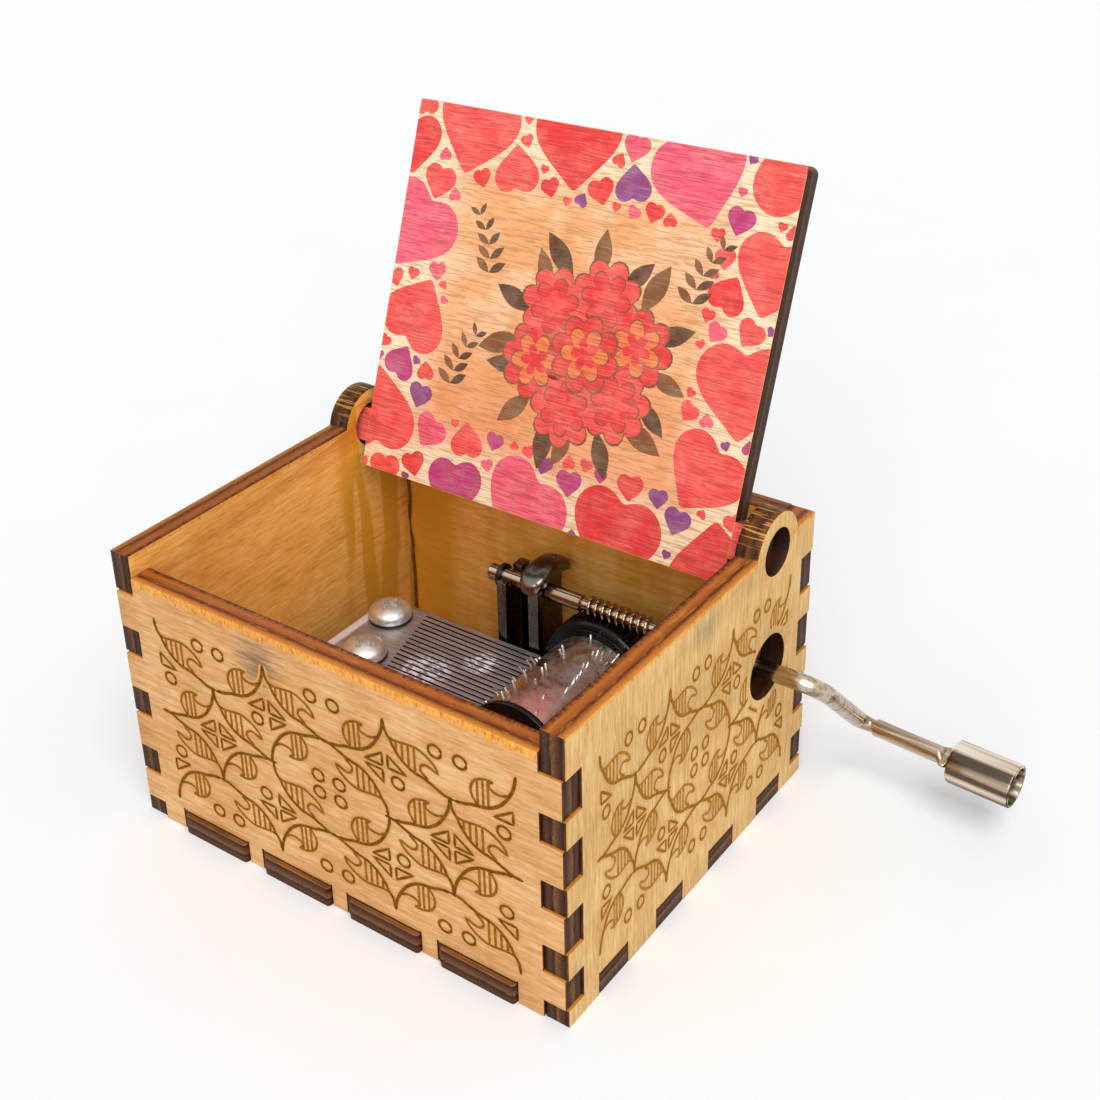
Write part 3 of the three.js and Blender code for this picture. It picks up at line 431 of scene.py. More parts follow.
PALE = ("pale_light", "pale_mid", "pale_deep")
# Inner faces: a more golden tone, set brighter than the outside as painted light against the shade inside the
# box
INNER_BRIGHTENED = ("inner_light", "inner_mid", "inner_deep")
BROWNED = ("rim_orange", "end_pale", "end_mid")
GLUED = ("stain", "stain", "stain")

nodes = frame["nodes"]


# Colour and shader helpers
def srgb(name):
    """A named colour in the linear values that shaders use."""
    code = COLOURS[name]
    channels = [int(code[i:i + 2], 16) / 255 for i in (1, 3, 5)]
    linear = [c / 12.92 if c <= 0.04045 else ((c + 0.055) / 1.055) ** 2.4 for c in channels]
    return (*linear, 1)


class Shader:
    """One node material under construction, with short calls for the nodes that it needs."""

    def __init__(self, name):
        self.material = bpy.data.materials.new(name)
        self.material.use_nodes = True
        self.tree = self.material.node_tree
        self.tree.nodes.clear()
        self.surface = self.add("ShaderNodeBsdfPrincipled")
        output = self.add("ShaderNodeOutputMaterial")
        self.tree.links.new(self.surface.outputs["BSDF"], output.inputs["Surface"])
        coordinates = self.add("ShaderNodeTexCoord")
        self.position = coordinates.outputs["Object"]
        self.normal = coordinates.outputs["Normal"]

    def add(self, kind, inputs=None, **settings):
        node = self.tree.nodes.new(kind)
        for key, value in settings.items():
            setattr(node, key, value)
        for key, value in (inputs or {}).items():
            self.feed(node.inputs[key], value)
        return node

    def feed(self, socket, value):
        if isinstance(value, bpy.types.NodeSocket):
            self.tree.links.new(value, socket)
        else:
            socket.default_value = value

    def scaled(self, vector, scale):
        return self.add("ShaderNodeMapping", {"Vector": vector, "Scale": scale}).outputs["Vector"]

    def operate(self, kind, operation, values, output, **settings):
        """What a node of mathematics gives when its sockets are fed the values in turn."""
        node = self.add(kind, operation=operation, **settings)
        for socket, value in zip(node.inputs, values):
            self.feed(socket, value)
        return node.outputs[output]

    def vector(self, operation, *values):
        return self.operate("ShaderNodeVectorMath", operation, values, "Vector")

    def scaled_by(self, vector, number):
        node = self.add("ShaderNodeVectorMath", {0: vector, "Scale": number}, operation="SCALE")
        return node.outputs["Vector"]

    def stretched(self, direction, along, across):
        """The position, scaled one way along a direction and another way across it."""
        extra = self.times(self.along(direction), along - across)
        return self.vector("ADD", self.scaled_by(self.position, across), self.scaled_by(direction, extra))

    def noise(self, vector, scale, detail=2.0, roughness=0.5, distortion=0.0):
        inputs = {"Vector": vector, "Scale": scale, "Detail": detail, "Roughness": roughness,
                  "Distortion": distortion}
        return self.add("ShaderNodeTexNoise", inputs).outputs["Fac"]

    def ramp(self, value, *stops):
        node = self.add("ShaderNodeValToRGB", {"Fac": value})
        elements = node.color_ramp.elements
        while len(elements) < len(stops):
            elements.new(1)
        for element, (place, colour) in zip(elements, stops):
            element.position = place
            element.color = srgb(colour) if isinstance(colour, str) else colour
        return node.outputs["Color"]

    def fade(self, value, low, high):
        inputs = {"Value": value, "From Min": low, "From Max": high}
        return self.add("ShaderNodeMapRange", inputs, interpolation_type="SMOOTHSTEP").outputs["Result"]

    def spread(self, value, low, high):
        inputs = {"Value": value, "To Min": low, "To Max": high}
        return self.add("ShaderNodeMapRange", inputs).outputs["Result"]

    def mix(self, share, first, second):
        node = self.add("ShaderNodeMix", data_type="RGBA")
        colours = [srgb(c) if isinstance(c, str) else c for c in (first, second)]
        for socket, value in zip((node.inputs[0], node.inputs[6], node.inputs[7]), (share, *colours)):
            self.feed(socket, value)
        return node.outputs[2]

    def calc(self, operation, *values, clamp=False):
        return self.operate("ShaderNodeMath", operation, values, "Value", use_clamp=clamp)

    def times(self, *values):
        product = values[0]
        for value in values[1:]:
            product = self.calc("MULTIPLY", product, value)
        return product

    def cover(self, tone, colour, value, low, high, strength):
        """A tone with a colour over it, as strong as given, where a value runs from low to high."""
        return self.mix(self.times(self.fade(value, low, high), strength), tone, colour)

    def dot(self, vector, direction):
        return self.operate("ShaderNodeVectorMath", "DOT_PRODUCT", (vector, direction), "Value")

    def distance(self, vector, point):
        return self.operate("ShaderNodeVectorMath", "DISTANCE", (vector, point), "Value")

    def along(self, direction):
        """The place of each point along a direction, in metres."""
        return self.dot(self.position, direction)

    def number(self, name):
        return self.add("ShaderNodeAttribute", attribute_name=name).outputs["Fac"]

    def bump(self, height, distance, strength=1.0):
        node = self.add("ShaderNodeBump", {"Height": height, "Distance": distance, "Strength": strength})
        self.feed(self.surface.inputs["Normal"], node.outputs["Normal"])

    def finish(self, **sockets):
        names = {"colour": "Base Color", "roughness": "Roughness", "metallic": "Metallic",
                 "specular": "Specular IOR Level"}
        for key, value in sockets.items():
            self.feed(self.surface.inputs[names[key]], value)
        return self.material


# Wood
class Wood(Shader):
    """Plywood face: cloudy tone, long fibres along one axis, and short dark pores between them."""

    def __init__(self, name, grain):
        super().__init__(name)
        scale = [1.0, 1.0, 1.0]
        scale[grain] = GRAIN_STRETCH
        self.fibres = self.scaled(self.position, scale)
        self.fine = self.noise(self.fibres, FINE_FIBRE_SCALE, 2, 0.6)
        self.pores = self.noise(self.fibres, PORE_SCALE, 1, 0.4)
        coarse = self.noise(self.fibres, COARSE_FIBRE_SCALE, 3, 0.6, 0.3)
        clouds = self.noise(self.position, CLOUD_SCALE, 4, 0.6)
        self.tone = self.calc("ADD", self.times(clouds, 0.4), self.times(coarse, 0.6))

    def face(self, tones):
        light, mid, deep = tones
        colour = self.ramp(self.tone, (0.36, light), (0.5, mid), (0.74, deep))
        colour = self.cover(colour, deep, self.fine, 0.5, 0.68, 0.34)
        colour = self.cover(colour, light, self.fine, 0.47, 0.3, 0.4)
        return self.cover(colour, "pore", self.pores, 0.64, 0.74, 0.34)


def burnt_edge(shader, share, outwards, dark, ridge_from):
    """Edge of the plywood: glowing brown layers where it looks up, and charred ends at the sides."""
    layers = shader.noise(shader.stretched(outwards, 1.0, 0.13), EDGE_LAYER_SCALE, 3, 0.6, 0.6)
    ridges = shader.noise(shader.stretched(outwards, 0.13, 1.0), EDGE_RIDGE_SCALE, 1)
    speckle = shader.noise(shader.position, SPECKLE_SCALE, 2, 0.6)
    wander = shader.times(shader.calc("SUBTRACT", layers, 0.5), 0.26)
    depth = shader.calc("ADD", share, wander)
    top = shader.ramp(depth, (0.03, "rim_gold"), (0.2, "rim_orange"), (0.33, "rim_dark"), (0.45, "rim_brown"),
                      (0.7, "rim_orange"), (0.86, "rim_brown"), (0.99, "rim_dark"))
    top = shader.cover(top, "rim_gold", layers, 0.56, 0.68, 0.5)
    teeth = shader.times(shader.fade(ridges, 0.48, 0.56), shader.fade(share, 0.76, 0.86), 0.6)
    top = shader.mix(teeth, top, "end_dark")
    if ridge_from is not None:
        high = shader.fade(shader.along(UP), ridge_from, ridge_from + PLY * 0.2)
        top = shader.mix(shader.times(high, 0.75), top, "end_dark")
        # Painted highlight: golden glints on the crests of the fine laser ridges of the top rims
        fine_ridges = shader.noise(shader.stretched(outwards, 0.06, 1.0), FINE_RIDGE_SCALE, 1)
        crest_highlight = shader.times(high, shader.fade(fine_ridges, 0.55, 0.6), 0.6)
        top = shader.mix(crest_highlight, top, "fringe_gold")
    top = shader.cover(top, "rim_dark", speckle, 0.5, 0.7, 0.3)
    side = shader.ramp(depth, (0.0, "end_glow"), (0.12, "end_dark"), (0.34, "end_mid"), (0.52, "end_pale"),
                       (0.62, "end_dark"), (0.8, "end_mid"), (0.97, "end_dark"))
    side = shader.cover(side, "end_dark", speckle, 0.42, 0.7, 0.55)
    upward = shader.fade(shader.dot(shader.normal, UP), 0.3, 0.75)
    return shader.mix(dark, shader.mix(upward, side, top), "end_dark"), ridges


def scorch(shader, top, fringe):
    """Ragged band under an upper edge where the laser has browned the face."""
    below = shader.calc("SUBTRACT", top, shader.along(UP))
    feather = shader.noise(shader.scaled(shader.position, (1.0, 1.0, 0.22)), FRINGE_SCALE, 3, 0.65)
    limit = shader.times(feather, fringe * 2)
    band = shader.fade(shader.calc("SUBTRACT", limit, below), fringe * -0.25, fringe * 0.35)
    return shader.times(band, shader.calc("GREATER_THAN", below, -FINE_EDGE), 0.9)


def scorch_colour(shader):
    fleck = shader.noise(shader.scaled(shader.position, (1.0, 1.0, 0.4)), FRINGE_FLECK_SCALE, 2, 0.6)
    return shader.ramp(fleck, (0.3, "rim_orange"), (0.42, "fringe"), (0.7, "fringe_gold"))


def thumb_mark(shader, place, radius, strength):
    """Grey smudge that clings to the fibres round a place."""
    cloud = shader.noise(shader.fibres, SMUDGE_SCALE, 3, 0.7)
    near = shader.calc("DIVIDE", shader.distance(shader.position, place), radius)
    return shader.times(shader.fade(shader.calc("ADD", near, shader.times(cloud, 1.7)), 1.75, 0.8), strength)


def left_stain(shader):
    """Old glue towards the rear of the left wall, in upright bands."""
    bands = shader.noise(shader.scaled(shader.position, (0, 1.0, 0.12)), LEFT_STAIN_SCALE, 1)
    reach = shader.fade(shader.along(REAR), LEFT_STAIN_START, LEFT_STAIN_START + PLY)
    return shader.times(reach, shader.fade(bands, 0.42, 0.52))


def back_stain(shader):
    """Old glue at the left end of the back wall."""
    bands = shader.noise(shader.scaled(shader.position, (1.0, 0, 0.12)), BACK_STAIN_SCALE, 1)
    reach = shader.fade(shader.along(RIGHT), BACK_STAIN_END + PLY, BACK_STAIN_END - PLY)
    return shader.calc("ADD", reach, shader.times(shader.fade(bands, 0.45, 0.6), 0.35), clamp=True)


def plywood(name, outwards, outer, grain, tones=TAN, top=None, fringe=FRINGE_DEPTH, dark=0.0,
            ridge_from=None, stain=None, smudge=None, holes=()):
    """Plywood of one panel. outwards is the panel's outer direction and outer its outer face along it.
    top and fringe give a scorched upper edge, stain a function that says where old glue darkens the
    inner face, smudge the place, radius and strength of a grey mark, and holes the centres and radii of
    holes along X whose walls are charred."""
    shader = Wood(name, grain)
    outward_share = shader.dot(shader.normal, outwards)
    inside = shader.fade(outward_share, -0.5, -0.9)
    # Inner faces take the brightened inner tones: golden wood plus painted light against the shade in the box
    wood = shader.mix(inside, shader.face(tones), shader.face(INNER_BRIGHTENED))
    if top is not None:
        wood = shader.mix(scorch(shader, top, fringe), wood, scorch_colour(shader))
    if stain is not None:
        wood = shader.mix(shader.times(stain(shader), inside, 0.8), wood, "stain")
    if smudge is not None:
        wood = shader.mix(thumb_mark(shader, *smudge), wood, "smudge")
    share = shader.calc("DIVIDE", shader.calc("SUBTRACT", outer, shader.along(outwards)), PLY)
    edge, ridges = burnt_edge(shader, share, outwards, dark, ridge_from)
    for centre, radius in holes:
        offset = shader.distance(shader.scaled(shader.position, (0, 1, 1)), (0, centre.y, centre.z))
        edge = shader.cover(edge, "hole_dark", offset, radius + SOFT_EDGE * 3, radius + SOFT_EDGE, 0.93)
    face = shader.fade(shader.calc("ABSOLUTE", outward_share), 0.55, 0.85)
    relief = shader.calc("ADD", shader.times(shader.fine, face),
                         shader.times(ridges, shader.calc("SUBTRACT", 1.0, face), 2.0))
    shader.bump(relief, FIBRE_RELIEF, 0.6)
    gloss = shader.spread(face, 0.55, 0.65)
    return shader.finish(colour=shader.mix(face, edge, wood), roughness=gloss, specular=0.16)


def engraving(name, grain, tones):
    """Burnt line on plywood: the wood's own colour at the rim, deep brown in the middle."""
    shader = Wood(name, grain)
    burn = shader.number("burn")
    uneven = shader.noise(shader.position, BURN_SCALE, 3, 0.6)
    heat = shader.calc("MULTIPLY", burn, shader.spread(uneven, 0.55, 1.4), clamp=True)
    burnt = shader.ramp(heat, (0.1, "burn_soft"), (1.0, "burn_deep"))
    share = shader.fade(heat, 0.0, 0.62)
    shader.bump(shader.calc("SUBTRACT", shader.fine, burn), FIBRE_RELIEF, 0.8)
    return shader.finish(colour=shader.mix(share, shader.face(tones), burnt), roughness=0.75, specular=0.1)


# Print
def print_lines(shader):
    """Fine wavy hairlines across the lid, where the ink has sunk into the grain."""
    wave = shader.add("ShaderNodeTexNoise", {"Vector": shader.position, "Scale": PRINT_WAVE_SCALE})
    shift = shader.vector("MULTIPLY", wave.outputs["Color"], (0, PRINT_WAVE_HEIGHT, PRINT_WAVE_HEIGHT))
    moved = shader.vector("ADD", shader.position, shift)
    return shader.noise(shader.scaled(moved, (PRINT_LINE_STRETCH, 1.0, 1.0)), PRINT_LINE_SCALE, 2, 0.55)


def ink(name, colour):
    """Ink that has sunk into brushed wood: dark and pale hairlines run across the lid."""
    shader = Shader(name)
    lines = print_lines(shader)
    cloud = shader.noise(shader.position, INK_CLOUD_SCALE, 3, 0.6)
    speck = shader.noise(shader.position, INK_SPECK_SCALE, 2, 0.6)
    tone = shader.cover(colour, "cream", cloud, 0.35, 0.7, 0.12)
    tone = shader.cover(tone, "ink_line", lines, 0.49, 0.6, 0.5)
    tone = shader.cover(tone, "cream", lines, 0.42, 0.3, 0.14)
    tone = shader.cover(tone, "ink_line", speck, 0.56, 0.7, 0.2)
    shader.bump(lines, FIBRE_RELIEF, 0.7)
    return shader.finish(colour=tone, roughness=0.55, specular=0.3)


def print_ground(name, centre, half_width, half_height, upwards):
    """Pale ground of the print: cream towards the edges, tan and peach in the middle."""
    shader = Shader(name)
    offset = shader.vector("SUBTRACT", shader.position, centre)
    across = shader.calc("DIVIDE", shader.dot(offset, RIGHT), half_width)
    height = shader.calc("DIVIDE", shader.dot(offset, upwards), half_height)
    reach = shader.calc("MAXIMUM", shader.calc("ABSOLUTE", across), shader.calc("ABSOLUTE", height))
    cloud = shader.noise(shader.position, GROUND_CLOUD_SCALE, 3, 0.6)
    lines = print_lines(shader)
    inner = shader.fade(shader.calc("ADD", reach, shader.times(cloud, 0.25)), 0.98, 0.72)
    warm = shader.mix(shader.fade(cloud, 0.38, 0.62), "peach", "tan")
    warm = shader.cover(warm, "orange", height, 0.1, -0.7, 0.45)
    tone = shader.mix(inner, "cream", warm)
    tone = shader.cover(tone, "tan_deep", lines, 0.49, 0.6, 0.55)
    shader.bump(lines, FIBRE_RELIEF, 0.7)
    return shader.finish(colour=tone, roughness=0.55, specular=0.3)


# Metals and plastic
def metal(name):
    """Metal whose roughness and tint wander, with its marks slightly raised."""
    colour, wear_colour, roughness, rougher, scale, relief, metallic = METALS[name]
    shader = Shader(name)
    marks = shader.noise(shader.position, scale, 4, 0.65)
    cloud = shader.noise(shader.position, scale * 0.12, 2)
    gloss = shader.spread(shader.fade(marks, 0.3, 0.7), roughness, roughness + rougher)
    tone = shader.mix(shader.fade(cloud, 0.42, 0.7), colour, wear_colour)
    tone = shader.cover(tone, wear_colour, marks, 0.6, 0.8, 0.4)
    shader.bump(marks, relief, 0.4)
    return shader.finish(colour=tone, roughness=gloss, metallic=metallic)


def nickel_with_painted_reflections(name, direction, scale, strength):
    """Warm polished nickel with painted reflections: light and dark bands along a direction in its colour."""
    shader = Shader(name)
    bands = shader.noise(shader.stretched(direction, 0.03, 1.0), scale, 2, 0.5)
    hairs = shader.noise(shader.stretched(direction, 0.05, 1.0), scale * 8, 2, 0.5)
    # Painted reflections: the bands put a highlight and dark mirrored surroundings into the colour, as strong
    # as strength
    tone = shader.mix(strength, BAND_MEAN_TONE, shader.ramp(bands, *PAINTED_REFLECTION_TONES))
    tone = shader.cover(tone, HAIRLINE_TONE, hairs, 0.5, 0.7, 0.3)
    shader.bump(hairs, BRUSHED_RELIEF, 0.4)
    gloss = shader.spread(shader.fade(hairs, 0.3, 0.7), 0.12, 0.24)
    return shader.finish(colour=tone, roughness=gloss, metallic=1.0)


def comb_steel():
    """Dark ground steel with long brush marks, painted highlights on two patches and the rear end, and
    painted shade on faces that don't look up.
    """
    shader = Shader("comb_steel")
    brushed = shader.noise(shader.scaled(shader.position, (0.07, 1.0, 1.0)), COMB_BRUSH_SCALE, 3, 0.6)
    fleck = shader.noise(shader.scaled(shader.position, (0.6, 1.0, 1.0)), COMB_FLECK_SCALE, 2, 0.6)
    # Painted highlights: two patches and the end behind the screws, only on faces that look up
    highlight_patches = 0.0
    for place, radius in COMB_HIGHLIGHT_PATCHES:
        near = shader.fade(shader.distance(shader.position, place), radius, radius * 0.5)
        highlight_patches = shader.calc("ADD", highlight_patches, near)
    highlight_patches = shader.times(highlight_patches, shader.fade(fleck, 0.44, 0.56))
    end = shader.fade(shader.along(RIGHT), COMB_HIGHLIGHT_END_X + COMB_HIGHLIGHT_FADE, COMB_HIGHLIGHT_END_X)
    upward = shader.fade(shader.dot(shader.normal, UP), 0.7, 0.95)
    bright = shader.times(shader.calc("MAXIMUM", highlight_patches, shader.times(end, 0.85), clamp=True), upward)
    dark_tone, pale_tone = COMB_TONES
    tone = shader.ramp(brushed, (0.3, dark_tone), (0.7, pale_tone))
    tone = shader.mix(bright, tone, COMB_HIGHLIGHT_TONE)
    # Painted shade: every face that doesn't look up, as in the gaps between the teeth, turns near black
    tone = shader.mix(upward, COMB_GAP_SHADE_TONE, tone)
    shader.bump(brushed, COMB_RELIEF, 0.5)
    return shader.finish(colour=tone, roughness=shader.spread(brushed, 0.34, 0.5),
                         metallic=shader.spread(bright, 0.72, 0.15))


def black_plastic():
    """Moulded black plastic: glossy, with faint flow marks and a little dust."""
    shader = Shader("black_plastic")
    dust = shader.noise(shader.position, PLASTIC_DUST_SCALE, 3, 0.7)
    flow = shader.noise(shader.position, PLASTIC_FLOW_SCALE, 2)
    clean, dusty = PLASTIC_TONES
    tone = shader.ramp(shader.times(shader.fade(dust, 0.62, 0.85), 0.4), (0.0, clean), (1.0, dusty))
    shader.bump(flow, CAST_RELIEF, 0.4)
    gloss = shader.spread(shader.fade(dust, 0.4, 0.8), 0.08, 0.24)
    return shader.finish(colour=tone, roughness=gloss, specular=0.28)


# Drawing and mesh helpers
class Plane:
    """A flat face of the object, with places on it given across, up and proud of it."""

    def __init__(self, origin, across, up):
        self.origin = Vector(origin)
        self.across = Vector(across)
        self.up = Vector(up)
        self.outwards = self.across.cross(self.up)

    def point(self, u, v, lift=0.0):
        return self.origin + self.across * u + self.up * v + self.outwards * lift


class MeshMaker:
    """Collects corners and faces, with one number for each corner, and makes one object of them."""

    def __init__(self):
        self.corners = []
        self.faces = []
        self.numbers = []
        self.count = 0

    def add(self, corners, faces, numbers=None):
        self.count += 1
        start = len(self.corners)
        self.corners.extend(corners)
        self.faces.extend([start + i for i in face] for face in faces)
        self.numbers.extend(numbers or [0.0] * len(corners))

    def rings(self, rings, capped=True):
        """Joins rings of equally many corners into one skin, with closed ends unless capped is false."""
        count = len(rings[0])
        last = (len(rings) - 1) * count
        faces = []
        for start in range(0, last, count):
            for i in range(count):
                j = (i + 1) % count
                faces.append([start + i, start + j, start + count + j, start + count + i])
        if capped:
            faces.append(list(range(count))[::-1])
            faces.append([last + i for i in range(count)])
        self.add([corner for ring in rings for corner in ring], faces)

    def prism_along_x(self, outline, left, right):
        """A prism from left to right, whose outline is given by depth and height."""
        self.rings([[Vector((x, p.x, p.y)) for p in outline] for x in (left, right)])

    def prism_upwards(self, outline, low, high):
        """A prism from low to high, whose outline is given by its places on the floor."""
        self.rings([[Vector((p.x, p.y, z)) for p in outline] for z in (low, high)])

    def make(self, name, material, number_name=None):
        mesh = bpy.data.meshes.new(name)
        mesh.from_pydata([tuple(c) for c in self.corners], [], self.faces)
        mesh.validate()
        if number_name:
            attribute = mesh.attributes.new(number_name, "FLOAT", "POINT")
            attribute.data.foreach_set("value", self.numbers)
        mesh.materials.append(material)
        piece = bpy.data.objects.new(name, mesh)
        bpy.context.scene.collection.objects.link(piece)
        return piece


def smooth_by_angle(piece, angle=SHARP_ANGLE):
    piece.data.shade_smooth()
    piece.data.set_sharp_from_angle(angle=angle)


def soften_edges(piece, width, segments=2):
    soften = piece.modifiers.new("bevel", "BEVEL")
    soften.width = width
    soften.segments = segments
    soften.limit_method = "ANGLE"
    soften.angle_limit = SHARP_ANGLE
    soften.harden_normals = True
    soften.use_clamp_overlap = True


def round_angles(count):
    return [i / count * 2 * math.pi for i in range(count)]


def unit(angle):
    """Flat unit direction at an angle."""
    return Vector((math.cos(angle), math.sin(angle)))


def left_of(direction):
    return Vector((-direction.y, direction.x))


def arc_points(centre, radius, start, end, steps):
    return [centre + unit(start + (end - start) * i / steps) * radius for i in range(steps + 1)]


def wheel_ring(axis, radius, y, steps):
    """Corners of a ring about the cylinder's axis."""
    return [Vector((axis.x + radius * math.sin(a), y, axis.z + radius * math.cos(a)))
            for a in round_angles(steps)]


def rounded_rectangle(left, right, bottom, top, radius, steps=5):
    points = []
    left, right, bottom, top = left + radius, right - radius, bottom + radius, top - radius
    for i, corner in enumerate(((right, top), (left, top), (left, bottom), (right, bottom))):
        start = i * math.pi / 2
        points.extend(arc_points(Vector(corner), radius, start, start + math.pi / 2, steps))
    return points


def joint(name):
    return next(j for j in frame["joints"] if j["name"] == name)


def joint_place(name):
    return Vector(joint(name)["pos_m"])


def joint_axis(name):
    return Vector(joint(name)["axis"]).normalized()


# Strokes of the ornament
def smooth_line(points, step):
    """Points at about one step along a soft curve through the given points."""
    padded = [2 * points[0] - points[1], *points, 2 * points[-1] - points[-2]]
    line = [points[0]]
    for a, b, c, d in zip(padded, padded[1:], padded[2:], padded[3:]):
        count = max(1, math.ceil((c - b).length / step))
        for i in range(1, count + 1):
            t = i / count
            line.append(0.5 * (2 * b + (c - a) * t + (2 * a - 5 * b + 4 * c - d) * t * t
                               + (3 * b - a - 3 * c + d) * t ** 3))
    return line


def straight_line(points, step):
    """Points at about one step along straight runs between the given points."""
    line = [points[0]]
    for a, b in zip(points, points[1:]):
        count = max(1, math.ceil((b - a).length / step))
        line.extend(a + (b - a) * (i / count) for i in range(1, count + 1))
    return line


def side_directions(line):
    """Unit directions to the left of a line at each of its points."""
    directions = []
    for i in range(len(line)):
        run = line[min(i + 1, len(line) - 1)] - line[max(i - 1, 0)]
        directions.append(left_of(run).normalized())
    return directions


def strip_faces(last, row):
    """Faces between the cross rows of a strip, from the first row to the last, of row corners each."""
    starts = [i * row + j for i in range(last) for j in range(row - 1)]
    return [[start + 1, start + row + 1, start + row, start] for start in starts]


def add_stroke(maker, plane, line, width, burn):
    """A dark line with a soft scorched halo under it, darkest where the laser starts and stops. Each
    stroke has a height of its own and climbs a little, so that crossing ones don't share a plane."""
    last = len(line) - 1
    rise = maker.count % LIFT_STEPS * LIFT_STEP
    halo, halo_burn, core, core_burn = [], [], [], []
    for i, (point, side) in enumerate(zip(line, side_directions(line))):
        taper = END_TAPER if i in (0, last) else 1.0
        heat = burn * (END_HEAT if min(i, last - i) < 2 else LINE_HEAT)
        climb = rise + i * POINT_LIFT
        for offset, share in ((-1, 0.0), (0, HALO_HEAT), (1, 0.0)):
            place = point + side * (offset * (width / 2 + HALO_SPREAD / 2) * taper)
            halo.append(plane.point(*place, HALO_LIFT + climb))
            halo_burn.append(share * heat * taper)
        for offset in SIDES:
            place = point + side * (offset * width / 2 * taper)
            core.append(plane.point(*place, STROKE_LIFT + climb))
            core_burn.append(heat)
    maker.add(halo, strip_faces(last, 3), halo_burn)
    maker.add(core, strip_faces(last, 2), core_burn)


def closed_sides(points):
    """Each corner of a closed outline with the one after it."""
    return zip(points, points[1:] + points[:1])


def height_on(line, u):
    """Height of a drawn line above a place across the cell, or 0 where the line doesn't reach."""
    for (u0, v0), (u1, v1) in zip(line, line[1:]):
        if min(u0, u1) <= u <= max(u0, u1) and u0 != u1:
            return v0 + (v1 - v0) * (u - u0) / (u1 - u0)
    return 0.0


